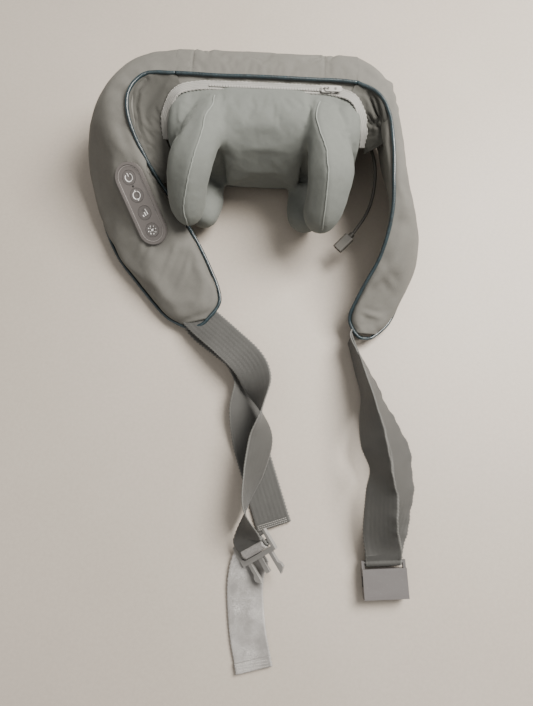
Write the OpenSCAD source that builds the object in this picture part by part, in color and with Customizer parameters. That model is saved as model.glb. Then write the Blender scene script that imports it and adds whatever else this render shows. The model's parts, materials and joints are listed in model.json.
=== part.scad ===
// Shiatsu neck massager: a U-shaped padded shawl over a motor-driven kneading
// module with two C-shaped hands, a four-button control panel, two webbing
// straps with a side-release buckle, and a charging lead.
// Millimetres. Origin on the resting plane under the module's middle,
// +Z up, -Y towards the open end of the U.

/* [Module housing] */
// Half-width of the plastic housing
case_half = 96; // [92:1:98]
// Front face of the housing
case_front = -18; // [-20:1:-17]
// Rear face of the housing
case_rear = 88; // [87:1:90]
// Underside of the housing
case_low = 8; // [7:1:10]
// Top of the housing
case_high = 112; // [111:1:114]
// Wall thickness of the housing
wall = 2.5; // [2:0.1:3]

/* [Kneading hands] */
// Distance of each hand's hub from the middle
hub_x = 62; // [60:1:64]
// Hub position, front to back
hub_y = 14; // [13:0.5:15]
// Hub height above the resting plane
hub_z = 60; // [59:0.5:61]
// Thickness of each hand
hand_thick = 12; // [10:0.5:13]
// Built-in outward splay of each hand
splay = 5; // [3:1:6]
// Lean of both hands at rest, from the shaft's phase
lean = 5; // [3:1:6]
// Roll that carries the upper fingers outward and the lower ones inward
roll = 6; // [4:1:7]

/* [Drive] */
// Radius of the drive shaft
shaft_r = 4; // [4:0.5:5]
// Tilt of the journals that rock the hands
journal_tilt = 8; // [6:0.5:8]

/* [Control panel] */
// Length of the panel
panel_len = 95; // [90:1:96]
// Width of the panel
panel_wid = 34; // [33:0.5:35]
// Button radius
button_r = 7.8; // [7.2:0.1:8]
// Distance between button centres
button_pitch = 20.5; // [19.5:0.1:21]

/* [Webbing and buckles] */
// Webbing width
web_w = 38; // [36:1:38]
// Webbing thickness
web_t = 1.6; // [1.4:0.1:1.8]
// Female buckle length beyond its bar
buckle_len = 36; // [34:1:38]
// Buckle thickness
buckle_thick = 11; // [10:0.5:12]

/* [Soft goods] */
// Cover skin thickness
skin = 1.8; // [1.5:0.1:2]
// Radius of the edge piping
piping_r = 2.1; // [1.8:0.1:2.2]

/* [Hidden] */
$fn = 48;
gear_module = 1.5;    // tooth module of the worm wheel
wheel_teeth = 30;
worm_pitch_r = 7;
case_split = 38;      // plane where the front and rear shells meet
case_round = 16;      // corner radius of the housing's profile
pitch_r = gear_module * wheel_teeth / 2;
worm_z = hub_z + pitch_r + worm_pitch_r;
worm_lead = PI * gear_module;
worm_turns = 4;
thread_half = 0.85;   // half thickness of the worm's thread at its pitch line
flank = 20;           // pressure angle
slot_half = 19;       // half width of the slot each hand comes out of
bore_r = 16.5;        // hole in each hand, open round the tilted journal
journal_r = 10.5;
bearing_r = 13;
journal_w = 10;
box_half = 15.5;      // half width of the gearbox
motor_r = 14;
motor_y = 41.5;         // face where the motor bolts to the gearbox
motor_len = 34;

GREY = [0.47, 0.46, 0.44];
LIGHT = [0.68, 0.70, 0.66];
NAVY = [0.09, 0.14, 0.17];
PALE = [0.78, 0.77, 0.74];
BLACK = [0.12, 0.12, 0.13];

// ---------------------------------------------------------------- vectors

function unit(v) = v / norm(v);
function mix(a, b, f) = a + (b - a) * f;

// Catmull-Rom curve through a list of points of any dimension, n steps a span
function spline(p, n) = [
    for (i = [0 : len(p) - 2]) for (k = [0 : n - 1 + (i == len(p) - 2 ? 1 : 0)])
        let (f = k / n,
             b = p[i], c = p[i + 1],
             a = i > 0 ? p[i - 1] : 2 * b - c,
             d = i < len(p) - 2 ? p[i + 2] : 2 * c - b)
        0.5 * (2 * b + (c - a) * f + (2 * a - 5 * b + 4 * c - d) * f * f
               + (3 * b - a - 3 * c + d) * f * f * f)];

function tangent(p, i) =
    unit(p[min(i + 1, len(p) - 1)] - p[max(i - 1, 0)]);

// Any unit vector square to t, from a hint
function square_to(t, hint) = unit(hint - (hint * t) * t);

// -------------------------------------------------------- swept solids

// Closed solid through rings that all have the same number of points; on the
// side numbered flip the quads are cut along their other diagonal
module loft(rings, flip = -1) {
    m = len(rings[0]);
    n = len(rings);
    polyhedron(
        points = [for (r = rings) each r],
        faces = concat(
            [[for (j = [0 : m - 1]) j]],
            [[for (j = [0 : m - 1]) n * m - 1 - j]],
            [for (i = [0 : n - 2]) for (j = [0 : m - 1])
                let (a = i * m + j, b = i * m + (j + 1) % m)
                [a, a + m, j == flip ? b : b + m]],
            [for (i = [0 : n - 2]) for (j = [0 : m - 1])
                let (a = i * m + j, b = i * m + (j + 1) % m)
                [j == flip ? a + m : a, b + m, b]]));
}

// Skin that is open at its first ring and closed at its last: the outside
// rings run out to the tip, and the inside rings come back to the mouth
module sock(outer, inner) {
    m = len(outer[0]);
    n = len(outer);
    k = len(inner);
    back = [for (i = [k - 1 : -1 : 0]) inner[i]];
    rings = concat(outer, back);
    last = n + k - 1;
    function side(i, j, o) = let (b = o + (i + 1) * m) [
        [o + i * m + j, b + j, b + (j + 1) % m],
        [o + i * m + j, b + (j + 1) % m, o + i * m + (j + 1) % m]];
    polyhedron(
        points = [for (r = rings) each r],
        faces = concat(
            [for (i = [0 : n - 2]) for (j = [0 : m - 1]) each side(i, j, 0)],
            [for (i = [0 : k - 2]) for (j = [0 : m - 1]) each side(i, j, n * m)],
            [[for (j = [0 : m - 1]) n * m - 1 - j]],
            [[for (j = [0 : m - 1]) n * m + j]],
            [for (j = [0 : m - 1]) each
                [[last * m + j, j, (j + 1) % m],
                 [last * m + j, (j + 1) % m, last * m + (j + 1) % m]]]));
}

// Round cord along a path; up is any vector that the path never follows
module cord(path, r, up = [0, 0, 1], sides = 10) {
    loft([for (i = [0 : len(path) - 1])
        let (t = tangent(path, i), u = square_to(t, up), v = cross(t, u))
        [for (j = [0 : sides - 1])
            path[i] + r * (cos(360 * j / sides) * u + sin(360 * j / sides) * v)]]);
}

// Flat webbing: each station is [x, y, z, wx, wy, wz], its middle and the
// direction of its width
module webbing(stations, width, thick, n = 4) {
    s = n > 0 ? spline(stations, n) : stations;
    mid = [for (q = s) [q[0], q[1], q[2]]];
    loft([for (i = [0 : len(s) - 1])
        let (t = tangent(mid, i),
             w = square_to(t, [s[i][3], s[i][4], s[i][5]]) * width / 2,
             v = unit(cross(t, w)) * thick / 2)
        [mid[i] + w - v, mid[i] + w + v, mid[i] - w + v, mid[i] - w - v]],
        flip = 3);
}

// Rounded rectangle with true arcs, between two corners
module rounded(lo, hi, r) {
    translate([lo[0] + r, lo[1]]) square([hi[0] - lo[0] - 2 * r, hi[1] - lo[1]]);
    translate([lo[0], lo[1] + r]) square([hi[0] - lo[0], hi[1] - lo[1] - 2 * r]);
    for (x = [lo[0] + r, hi[0] - r], y = [lo[1] + r, hi[1] - r])
        translate([x, y]) circle(r);
}

// Extrudes a Y-Z outline along X, from x0 to x1
module along_x(x0, x1) {
    translate([x0, 0, 0]) rotate([90, 0, 90]) linear_extrude(x1 - x0) children();
}

// Cylinder from one point along a unit direction
module rod(p, d, r, h) {
    inclination = acos(d[2]);
    bearing = atan2(d[1], d[0]);
    translate(p) rotate([0, inclination, bearing])
        cylinder(r = r, h = h);
}

// --------------------------------------------------------------- housing

module case_block(inset, y0, y1) {
    intersection() {
        along_x(-case_half + inset, case_half - inset)
            rounded([case_front + inset, case_low + inset],
                    [case_rear - inset, case_high - inset], case_round - inset);
        translate([-200, y0, 0]) cube([400, y1 - y0, 200]);
    }
}

module hand_slot(x) {
    translate([x - slot_half, case_front - 5, case_low + 3])
        cube([2 * slot_half, 5 + wall + 3, case_high]);
    translate([x - slot_half, case_front - 5, case_high - 20])
        cube([2 * slot_half, 5 + 42, 30]);
}

boss_spots = [for (x = [-90, 90], z = [21, 99]) [x, z], [-30, 14.5], [30, 14.5]];

module front_shell() {
    color(BLACK) difference() {
        union() {
            difference() {
                case_block(0, case_front - 1, case_split);
                case_block(wall, case_front - 1, case_split + 1);
            }
            intersection() {
                case_block(0, case_front - 1, case_split);
                for (s = boss_spots) translate([s[0], 6, s[1]]) rotate([-90, 0, 0])
                    cylinder(r = 5, h = case_split - 6);
            }
        }
        for (s = [-1, 1]) hand_slot(s * hub_x);
        for (s = boss_spots) translate([s[0], 12, s[1]]) rotate([-90, 0, 0])
            cylinder(r = 1.3, h = 60);
    }
}

module rear_shell() {
    color(BLACK) difference() {
        union() {
            difference() {
                case_block(0, case_split + 0.2, case_rear + 1);
                case_block(wall, case_split - 1, case_rear + 1);
            }
            intersection() {
                case_block(0, case_split + 0.2, case_rear + 1);
                for (s = boss_spots) translate([s[0], case_split + 0.2, s[1]])
                    rotate([-90, 0, 0]) cylinder(r = 5, h = 14);
            }
        }
        for (s = boss_spots) {
            translate([s[0], case_split - 1, s[1]]) rotate([-90, 0, 0])
                cylinder(r = 1.8, h = 60);
            translate([s[0], case_split + 8, s[1]]) rotate([-90, 0, 0])
                cylinder(r = 3.4, h = 60);
        }
    }
}

// ---------------------------------------------------------------- gearbox

module gearbox_outline(inset) {
    rounded([hub_y - 27 + inset, hub_z - 28 + inset],
            [motor_y - inset, worm_z + 12 - inset], 6 - inset / 2);
}

screw_ears = [[hub_y - 24, hub_z - 26], [hub_y - 24, worm_z + 9], [motor_y, hub_z - 24]];

module gearbox_half(side) {
    x0 = side < 0 ? -box_half : 0.1;
    x1 = side < 0 ? -0.1 : box_half;
    inner = side < 0 ? [-box_half + wall, 0] : [0, box_half - wall];
    difference() {
        union() {
            along_x(x0, x1) gearbox_outline(0);
            for (e = screw_ears) translate([x0, e[0], e[1]]) rotate([0, 90, 0])
                cylinder(r = 4.5, h = x1 - x0);
            translate([side * (box_half + 2), hub_y, hub_z]) rotate([0, 90, 0])
                cylinder(r = 10, h = 6, center = true);
        }
        along_x(inner[0], inner[1]) gearbox_outline(wall);
        translate([0, hub_y, hub_z]) rotate([0, 90, 0])
            cylinder(r = 7.05, h = 80, center = true);
        for (y = [motor_y - wall - 1, hub_y - 28]) translate([0, y, worm_z])
            rotate([-90, 0, 0]) cylinder(r = y > hub_y ? 6.2 : 3.05, h = wall + 5);
        for (e = screw_ears) translate([-40, e[0], e[1]]) rotate([0, 90, 0])
            cylinder(r = 1.6, h = 80);
    }
}

module gearbox_left() { color([0.82, 0.82, 0.8]) gearbox_half(-1); }
module gearbox_right() { color([0.82, 0.82, 0.8]) gearbox_half(1); }

module screws() {
    color("silver") {
        for (p = boss_spots) translate([p[0], 0, p[1]]) rotate([-90, 0, 0]) {
            translate([0, 0, 14]) cylinder(r = 1.25, h = case_split + 8 - 14);
            translate([0, 0, case_split + 8.05]) difference() {
                cylinder(r = 2.8, h = 2);
                translate([0, 0, 1]) cylinder(r = 1.1, h = 2);
            }
        }
        for (e = screw_ears) translate([0, e[0], e[1]]) rotate([0, 90, 0]) {
            translate([0, 0, -box_half + 1]) cylinder(r = 1.45, h = 2 * box_half);
            translate([0, 0, box_half + 0.1]) cylinder(r = 3, h = 2.2);
        }
    }
}

// ------------------------------------------------------ motor and drive

module motor_can() {
    color([0.6, 0.61, 0.63]) translate([0, motor_y + 0.1, worm_z]) rotate([-90, 0, 0])
        difference() {
            union() {
                cylinder(r = motor_r, h = motor_len);
                translate([0, 0, 4]) cylinder(r = motor_r + 0.8, h = 24);
            }
            translate([0, 0, 1.5]) cylinder(r = motor_r - 1.5, h = motor_len);
            translate([0, 0, -1]) cylinder(r = 2.4, h = 4);
        }
}

module motor_end_cap() {
    color(BLACK) translate([0, motor_y + motor_len + 0.2, worm_z]) rotate([-90, 0, 0])
        difference() {
            union() {
                cylinder(r = motor_r - 0.2, h = 3);
                for (s = [-1, 1]) translate([s * 8, 0, 3]) translate([-0.4, -1.5, 0])
                    cube([0.8, 3, 4]);
            }
            translate([0, 0, -1]) cylinder(r = 2.4, h = 3);
        }
}

module motor_shaft() {
    color("silver") translate([0, hub_y - 26.5, worm_z]) rotate([-90, 0, 0]) {
        cylinder(r = 2, h = motor_y + motor_len - hub_y + 26);
        translate([0, 0, motor_y - hub_y + 26.5 + 4])
            cylinder(r = motor_r - 3, h = motor_len - 10);
    }
}

// Radius of the worm at a phase angle from the middle of its thread
function thread_r(phase) =
    let (along = abs(phase) / 360 * worm_lead)
    min(worm_pitch_r + gear_module,
        max(worm_pitch_r - 1.2 * gear_module,
            worm_pitch_r + (thread_half - along) / tan(flank)));

module worm() {
    length = worm_turns * worm_lead;
    steps = 13 * worm_turns;
    color([0.75, 0.65, 0.4]) difference() {
        // the thread's middle faces the wheel at mid length
        loft([for (k = [0 : steps])
            [for (phase = [-180 : 18 : 162])
                let (turn = 360 * worm_turns * (k / steps - 0.5) + phase,
                     r = thread_r(phase))
                [r * sin(turn), hub_y + length * (k / steps - 0.5),
                 worm_z - r * cos(turn)]]]);
        translate([0, hub_y - length, worm_z]) rotate([-90, 0, 0])
            cylinder(r = 2.05, h = 2 * length);
    }
}

tooth_half = 0.9;     // half thickness of a wheel tooth at its pitch line

module worm_wheel() {
    tip = pitch_r + 1.1;
    root = pitch_r - 1.9;
    rise = tan(flank);
    function at(r, half, a) = [r * cos(a) - half * sin(a), r * sin(a) + half * cos(a)];
    color([0.9, 0.88, 0.8]) along_x(-3, 3) translate([hub_y, hub_z]) difference() {
        polygon([for (i = [0 : wheel_teeth - 1])
            let (a = 90 + (i + 0.5) * 360 / wheel_teeth)
            each [at(root, -tooth_half - 1.9 * rise, a),
                  at(tip, -tooth_half + 1.1 * rise, a),
                  at(tip, tooth_half - 1.1 * rise, a),
                  at(root, tooth_half + 1.9 * rise, a)]]);
        circle(shaft_r + 0.05);
    }
}

module drive_shaft() {
    color("silver") translate([-hub_x - 14, hub_y, hub_z]) rotate([0, 90, 0])
        cylinder(r = shaft_r, h = 2 * hub_x + 28);
}

// Journal that is tilted on the shaft, so turning it rocks the hand on it.
// At rest its tilt has a part in roll and a part in lean.
module hub(side) {
    translate([side * hub_x, hub_y, hub_z]) difference() {
        union() {
            rotate([0, side * roll, lean * 0.9]) rotate([0, 90, 0]) {
                cylinder(r = journal_r - 3.6, h = journal_w + 0.8, center = true);
                translate([0, 0, -journal_w / 2 - 2.6]) cylinder(r = 9, h = 2);
            }
            rotate([0, 90, 0]) cylinder(r = 6.2, h = 24, center = true);
        }
        rotate([0, 90, 0]) cylinder(r = shaft_r + 0.05, h = 60, center = true);
    }
}

module hub_left() { color([0.55, 0.56, 0.58]) hub(-1); }
module hub_right() { color([0.55, 0.56, 0.58]) hub(1); }

module hub_bearings() {
    color("silver") for (side = [-1, 1]) translate([side * hub_x, hub_y, hub_z])
        rotate([0, side * roll, lean * 0.9]) rotate([0, 90, 0]) {
            ring(journal_r - 3.5, journal_r - 1.6, journal_w - 1);
            ring(bearing_r - 1.9, bearing_r, journal_w - 1);
            for (a = [0 : 45 : 315]) rotate([0, 0, a])
                translate([(journal_r + bearing_r - 3.5) / 2, 0, 0]) sphere(r = 1.05, $fn = 24);
        }
}

module ring(r_in, r_out, h) {
    difference() {
        cylinder(r = r_out, h = h, center = true);
        cylinder(r = r_in, h = h + 1, center = true);
    }
}

module shaft_bushes() {
    color([0.7, 0.55, 0.3]) for (side = [-1, 1])
        translate([side * (box_half + 1), hub_y, hub_z]) rotate([0, 90, 0])
            ring(shaft_r + 0.05, 7, 7.5);
}

// ------------------------------------------------------------------ hands

// Outline of the C-shaped hand, forward and up from its hub
upper_path = [[0, 0, 24], [14, 36, 12], [44, 47, 10.5], [74, 41, 9.5], [90, 25, 9]];
lower_path = [[0, 0, 24], [20, -28, 11], [46, -36, 9.5], [66, -34, 9]];
upper_dir = unit([0.62, -0.78]);
lower_dir = unit([0.99, 0.12]);
pad_r = 13.5;
pad_len = 7;          // straight part of the pad before its dome
stub_r = 5;
stub_len = 17;

module finger_outline(path) {
    for (i = [0 : len(path) - 2]) hull() for (p = [path[i], path[i + 1]])
        translate([p[0], p[1]]) circle(p[2], $fn = 40);
}

// Places children, drawn in the hand's own plane (X thick, Y forward, Z up)
module at_hand(side) {
    yaw = side < 0 ? -(splay + lean) : splay - lean;
    translate([side * hub_x, hub_y, hub_z]) rotate([0, side * roll, yaw])
        children();
}

// In-plane point of the hand to hand coordinates
function in_hand(u, v) = [0, -u, v];

module hand(side) {
    difference() {
        at_hand(side) {
            rotate([90, 0, -90]) translate([0, 0, -hand_thick / 2])
                linear_extrude(hand_thick) {
                    finger_outline(upper_path);
                    finger_outline(lower_path);
                }
            for (f = [[upper_path[4], upper_dir], [lower_path[3], lower_dir]])
                rod(in_hand(f[0][0], f[0][1]), [0, -f[1][0], f[1][1]],
                    stub_r, stub_len + f[0][2]);
            rod([0, 20, 0], [0, 1, 0], 3, 14);
            translate([0, 36, 0]) sphere(r = 4, $fn = 32);
        }
        translate([side * hub_x, hub_y, hub_z]) rotate([0, 90, 0])
            cylinder(r = bore_r, h = 60, center = true);
    }
}

module hand_left() { color([0.2, 0.2, 0.21]) hand(-1); }
module hand_right() { color([0.2, 0.2, 0.21]) hand(1); }

module pad_profile() {
    intersection() {
        difference() {
            union() {
                translate([-pad_r, 0]) square([2 * pad_r, pad_len]);
                translate([0, pad_len]) circle(pad_r);
            }
            translate([-stub_r - 0.1, -30]) square([2 * stub_r + 0.2, 30 + stub_len + 0.4]);
        }
        square([pad_r + 1, pad_len + pad_r + 1]);
    }
}

module finger_pads(side) {
    at_hand(side) for (f = [[upper_path[4], upper_dir], [lower_path[3], lower_dir]])
        translate(in_hand(f[0][0], f[0][1]))
            rotate([90 - atan2(f[1][1], f[1][0]), 0, 0])
                translate([0, 0, f[0][2] + 0.3]) rotate_extrude() pad_profile();
}

module finger_pads_left() { color([0.85, 0.82, 0.78]) finger_pads(-1); }
module finger_pads_right() { color([0.85, 0.82, 0.78]) finger_pads(1); }

module limit_guides() {
    foot = case_low + wall + 0.1;
    color([0.25, 0.25, 0.26]) for (side = [-1, 1]) difference() {
        union() {
            translate([side * hub_x - 17, hub_y + 31, hub_z - 11]) cube([34, 10, 22]);
            translate([side * hub_x - 6, hub_y + 31, foot]) cube([12, 10, hub_z - 10 - foot]);
            translate([side * hub_x - 12, hub_y + 29, foot]) cube([24, 14, 3]);
        }
        translate([side * hub_x - 14, hub_y + 30, hub_z - 4.6]) cube([28, 12, 9.2]);
    }
}

// Fabric sleeve over a finger and its pad: [forward, up, half width, half height]
upper_sleeve = [[43, 47, 15, 14.5], [54, 47, 17, 15], [70, 42, 18, 15.5],
                [86, 29, 18, 16], [98, 14, 17.5, 16], [106, 3, 14, 12], [109, -2, 7, 6]];
lower_sleeve = [[42, -36, 13, 13], [54, -35.5, 15, 15], [68, -34, 16.5, 16],
                [82, -32.3, 16.5, 16], [93, -31, 13.5, 12], [98, -30.4, 7, 6]];

module sleeve(stations) {
    s = spline(stations, 3);
    mid = [for (q = s) in_hand(q[0], q[1])];
    function rings(grow) = [for (i = [0 : len(s) - 1])
        let (t = tangent(mid, i), u = [1, 0, 0], v = cross(t, u))
        [for (a = [0 : 24 : 336])
            mid[i] + (s[i][2] + grow) * cos(a) * u + (s[i][3] + grow) * sin(a) * v]];
    outside = rings(3);
    inside = rings(0.6);
    sock(outside, [for (i = [0 : len(s) - 2]) inside[i]]);
}

module sleeves_left() { color(LIGHT) at_hand(-1) { sleeve(upper_sleeve); sleeve(lower_sleeve); } }
module sleeves_right() { color(LIGHT) at_hand(1) { sleeve(upper_sleeve); sleeve(lower_sleeve); } }

// ------------------------------------------------------------ electronics

cell_r = 9.2;
cell_low = 26;
cell_y = 68;

module battery_cells() {
    color([0.25, 0.5, 0.7]) for (s = [-1, 1]) translate([0, cell_y, cell_low + (s + 1) / 2 * 21])
        for (k = [-1, 1]) translate([k * 34, 0, 0]) rotate([0, 90, 0]) {
            cylinder(r = cell_r, h = 63, center = true);
            translate([0, 0, 31.5]) cylinder(r = 3, h = 1.6);
        }
}

module battery_holder() {
    color([0.2, 0.2, 0.2]) difference() {
        translate([-70, cell_y - 12, cell_low - 3]) cube([140, 12, 27]);
        for (z = [cell_low, cell_low + 21], k = [-1, 1]) translate([k * 34, cell_y, z]) rotate([0, 90, 0])
            cylinder(r = cell_r + 0.3, h = 67.4, center = true);
    }
}

module main_board() {
    color([0.1, 0.4, 0.22]) difference() {
        translate([22, 80, 60]) cube([62, 1.6, 40]);
        for (x = [26, 80], z = [64, 96]) translate([x, 79, z]) rotate([-90, 0, 0])
            cylinder(r = 1.6, h = 4);
    }
}

module board_parts() {
    color([0.1, 0.1, 0.1]) {
        translate([34, 77.8, 72]) cube([10, 2.1, 10]);
        translate([50, 78.2, 80]) cube([6, 1.7, 5]);
        translate([60, 75.8, 66]) cube([12, 4.1, 6]);
        for (x = [52, 64, 74]) translate([x, 68, 92]) rotate([-90, 0, 0])
            cylinder(r = 3, h = 11.9);
    }
}

module heater_film() {
    color([0.75, 0.45, 0.2]) translate([-27, case_front - 1.2, 34]) cube([54, 0.6, 54]);
}

module wiring_harness() {
    runs = [[[10, 82, worm_z + 8], [18, 78, 100], [30, 74, 103], [46, 74, 103]],
            [[69, 66, 56], [76, 66, 58], [78, 70, 62], [77, 74, 74]],
            [[-20, 74, 62], [-50, 66, 80], [-70, 60, 84], [-84, 56, 74]]];
    color([0.7, 0.1, 0.1]) for (r = runs) cord(spline(r, 5), 1.1, [0, 1, 0.2], 6);
}

// ---------------------------------------------------- module's soft goods

cover_half = case_half + 1;

module channel(grow, thick, y0) {
    intersection() {
        along_x(-cover_half, cover_half) difference() {
            rounded([case_front - grow, case_low - grow],
                    [case_rear + grow, case_high + grow], case_round + grow);
            rounded([case_front - grow + thick, case_low - grow + thick],
                    [case_rear + grow - thick, case_high + grow - thick],
                    case_round + grow - thick);
        }
        translate([-200, y0, -20]) cube([400, 200, 200]);
    }
}

module rear_foam() { color([0.9, 0.88, 0.8]) channel(4.4, 4, 52.4); }

// Padded underside the module stands on
module base_cover() {
    color(GREY) linear_extrude(case_low - 0.8)
        rounded([-case_half + 6, case_front + 2], [case_half - 6, 49.5], 12);
}

module cover_centre() { color(GREY) channel(6.6, skin, 52); }

ridge_z = case_high + 6.6;
ridge_y = 50;

module piping_centre() {
    color(NAVY) along_x(-cover_half, cover_half)
        translate([ridge_y - 0.4, ridge_z - 1]) circle(piping_r);
}

module inner_lining() {
    color(GREY) for (side = [-1, 1])
        webbing([[side * 112.5, 15, 106, 0, 1, 0], [side * 117, 15, 103.5, 0, 1, 0.1],
                 [side * 122, 14, 99, 0, 1, 0.2]], 18, skin, 3);
    color(GREY) along_x(-cover_half, cover_half)
        translate([41.6, case_high + 3]) square([5.2, skin]);
}

// Centre web and two cheeks of the stretch cover
web_profile = [[30, 114.8], [10, 115], [-12, 111.5], [-24, 101], [-31, 85],
               [-37, 66], [-41, 50], [-37, 43], [-27, 34], [-21, 24]];

module module_cover() {
    color(LIGHT) {
        along_x(-29, 29) outline_strip(web_profile, 1.2);
        for (side = [-1, 1])
            along_x(side < 0 ? -case_half - 7 : case_half + 0.6,
                    side < 0 ? -case_half - 0.6 : case_half + 7)
                rounded([case_front - 6, 14], [30, case_high - 4], 20);
    }
}

// Strip of a given half thickness along an open outline
module outline_strip(p, half) {
    c = spline(p, 3);
    function side(i, s) =
        let (t = tangent(c, i)) c[i] + s * half * [t[1], -t[0]];
    polygon(concat([for (i = [0 : len(c) - 1]) side(i, 1)],
                   [for (i = [len(c) - 1 : -1 : 0]) side(i, -1)]));
}

// Zip runs over the module from cheek to cheek: points with the tape's width
// direction, which lies on the module's surface
zip_run = [[-110.5, -16, 76, 0.2, -0.9, 0.4], [-108.8, 6, 99.4, 0.3, -0.85, 0.4],
           [-97, 25, 115.6, 0.35, -0.9, 0.1], [-76, 34, 118, 0.1, -1, 0],
           [-38, 36, 118, 0, -1, 0], [38, 36, 118, 0, -1, 0],
           [76, 34, 118, -0.1, -1, 0], [97, 25, 115.6, -0.35, -0.9, 0.1],
           [108.8, 6, 99.4, -0.3, -0.85, 0.4], [110.5, -16, 76, -0.2, -0.9, 0.4]];

module zip_tape() { color(PALE) webbing(zip_run, 9, 1); }

module zip_teeth() {
    color([0.85, 0.84, 0.82]) for (x = [-60 : 3 : 60])
        translate([x - 1, 34.5, 118.8]) cube([2, 3, 1]);
}

module zip_slider() {
    color("silver") {
        translate([60.5, 31.7, 120]) rounded_plate([10, 8.6, 1.6], 2);
        translate([65, 36, 121.3]) rotate([90, 0, 0])
            rotate_extrude(angle = 180) translate([2.4, 0]) circle(0.55);
    }
}

module rounded_plate(size, r) {
    linear_extrude(size[2]) rounded([0, 0], [size[0], size[1]], r);
}

module zip_pull() {
    color("silver") translate([64.35, 32.5, 122]) difference() {
        rounded_plate([18, 7, 0.7], 2);
        translate([1.3, 1.7, -1]) cube([3, 3.6, 3]);
        translate([11, 3.5, -1]) cylinder(r = 1.6, h = 3);
    }
}

// ------------------------------------------------------------------ lobes

// Each lobe is two panels sewn along an inner and an outer seam.
// Stations run from the side of the module to the tip:
// [inner seam x, y, z, outer seam x, y, z, bulge of the upper panel, of the lower]
left_lobe = [[-99, 50, 118, -99, 92, 5, 34, 22],
             [-132, 46, 119, -134, 86, 5, 33, 24],
             [-149, 24, 116, -176, 58, 6, 29, 24],
             [-147, -6, 106, -193, 14, 7, 30, 22],
             [-128, -40, 80, -197, -32, 8, 30, 17],
             [-103, -70, 50, -192, -74, 9, 27, 11],
             [-79, -104, 39, -171, -118, 10, 23, 8],
             [-58, -140, 33, -140, -156, 10, 19, 6],
             [-44, -176, 26, -106, -192, 10, 13, 5],
             [-56, -199, 20, -84, -205, 11, 5, 3]];
right_lobe = [[99, 50, 118, 99, 92, 5, 34, 22],
              [123, 45, 119, 127, 84, 5, 28, 20],
              [137, 20, 118, 149, 50, 6, 18, 17],
              [139, -20, 116, 160, 4, 7, 18, 17],
              [141, -58, 110, 171, -42, 8, 19, 15],
              [143, -94, 94, 179, -84, 9, 19, 13],
              [136, -132, 70, 178, -124, 10, 18, 11],
              [120, -164, 46, 167, -160, 10, 16, 9],
              [110, -190, 28, 155, -188, 11, 12, 6],
              [117, -207, 20, 140, -205, 12, 5, 3]];

fill_gap = 1.6;
LOBE_STEPS = 3;
LOBE_SIDES = 20;

// Section of a lobe at one station, shrunk all round by inset
function lobe_ring(s, i, inset) =
    let (mids = [for (q = s) [q[0] + q[3], q[1] + q[4], q[2] + q[5]] / 2],
         in_edge = [s[i][0], s[i][1], s[i][2]],
         out_edge = [s[i][3], s[i][4], s[i][5]],
         t = i == 0 ? [sign(s[0][0]), 0, 0] : tangent(mids, i),
         half = (in_edge - out_edge) / 2,
         u = half - unit(half) * inset,
         v = unit(cross(t, half)),
         up = sign(s[i][0]) < 0 ? s[i][6] : s[i][7],
         down = sign(s[i][0]) < 0 ? s[i][7] : s[i][6])
    [for (j = [0 : LOBE_SIDES - 1])
        let (a = 360 * j / LOBE_SIDES,
             bulge = sin(a) > 0 ? up - inset : down - inset)
        mids[i] + cos(a) * u + bulge * sign(sin(a)) * pow(abs(sin(a)), 0.85) * v];

function lobe_rings(lobe, inset, drop) =
    let (s = spline(lobe, LOBE_STEPS))
    [for (i = [0 : len(s) - 1 - drop]) lobe_ring(s, i, inset)];

// Point on the left lobe's upper panel: station from 0 at the start to 1 at
// the tip, and angle from the inner seam
function left_surface(f, a) =
    let (s = spline(left_lobe, LOBE_STEPS), i = round(f * (len(s) - 1)),
         r = lobe_ring(s, i, 0), j = a / (360 / LOBE_SIDES))
    mix(r[floor(j)], r[ceil(j)], j - floor(j));

panel_near = mix(left_surface(0.45, 46), left_surface(0.47, 50), 0.5);
panel_far = left_surface(0.62, 72);
panel_x = unit(panel_far - panel_near);
panel_z = unit(cross(panel_x, left_surface(0.55, 50) - left_surface(0.55, 90)));
panel_y = cross(panel_z, panel_x);
panel_mid = (panel_near + panel_far) / 2 + panel_z * 2.6 + [3.8, -1.4, -0.2];

// Children drawn with X down the panel and Z out of it
module on_panel() {
    multmatrix([[panel_x[0], panel_y[0], panel_z[0], panel_mid[0]],
                [panel_x[1], panel_y[1], panel_z[1], panel_mid[1]],
                [panel_x[2], panel_y[2], panel_z[2], panel_mid[2]],
                [0, 0, 0, 1]]) children();
}

module stadium(length, width, z0, z1) {
    straight = length - width;
    translate([0, 0, z0]) {
        translate([-straight / 2, -width / 2, 0]) cube([straight, width, z1 - z0]);
        for (s = [-1, 1]) translate([s * straight / 2, 0, 0])
            cylinder(r = width / 2, h = z1 - z0);
    }
}

module cover_left() {
    color(GREY) difference() {
        sock(lobe_rings(left_lobe, 0, 0), lobe_rings(left_lobe, skin, 1));
        on_panel() stadium(panel_len + 1, panel_wid + 1, -16, 30);
    }
}

module cover_right() {
    color(GREY) sock(lobe_rings(right_lobe, 0, 0), lobe_rings(right_lobe, skin, 1));
}

module filling_left() {
    color([0.93, 0.92, 0.88]) difference() {
        loft(lobe_rings(left_lobe, skin + fill_gap, 2));
        on_panel() stadium(panel_len + 2, panel_wid + 2, -17, 40);
    }
}

module filling_right() {
    color([0.93, 0.92, 0.88]) loft(lobe_rings(right_lobe, skin + fill_gap, 2));
}

function inner_seam(lobe) = [for (q = spline(lobe, LOBE_STEPS)) [q[0], q[1], q[2]]];
function outer_seam(lobe) = [for (q = spline(lobe, LOBE_STEPS)) [q[3], q[4], q[5]]];

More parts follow.
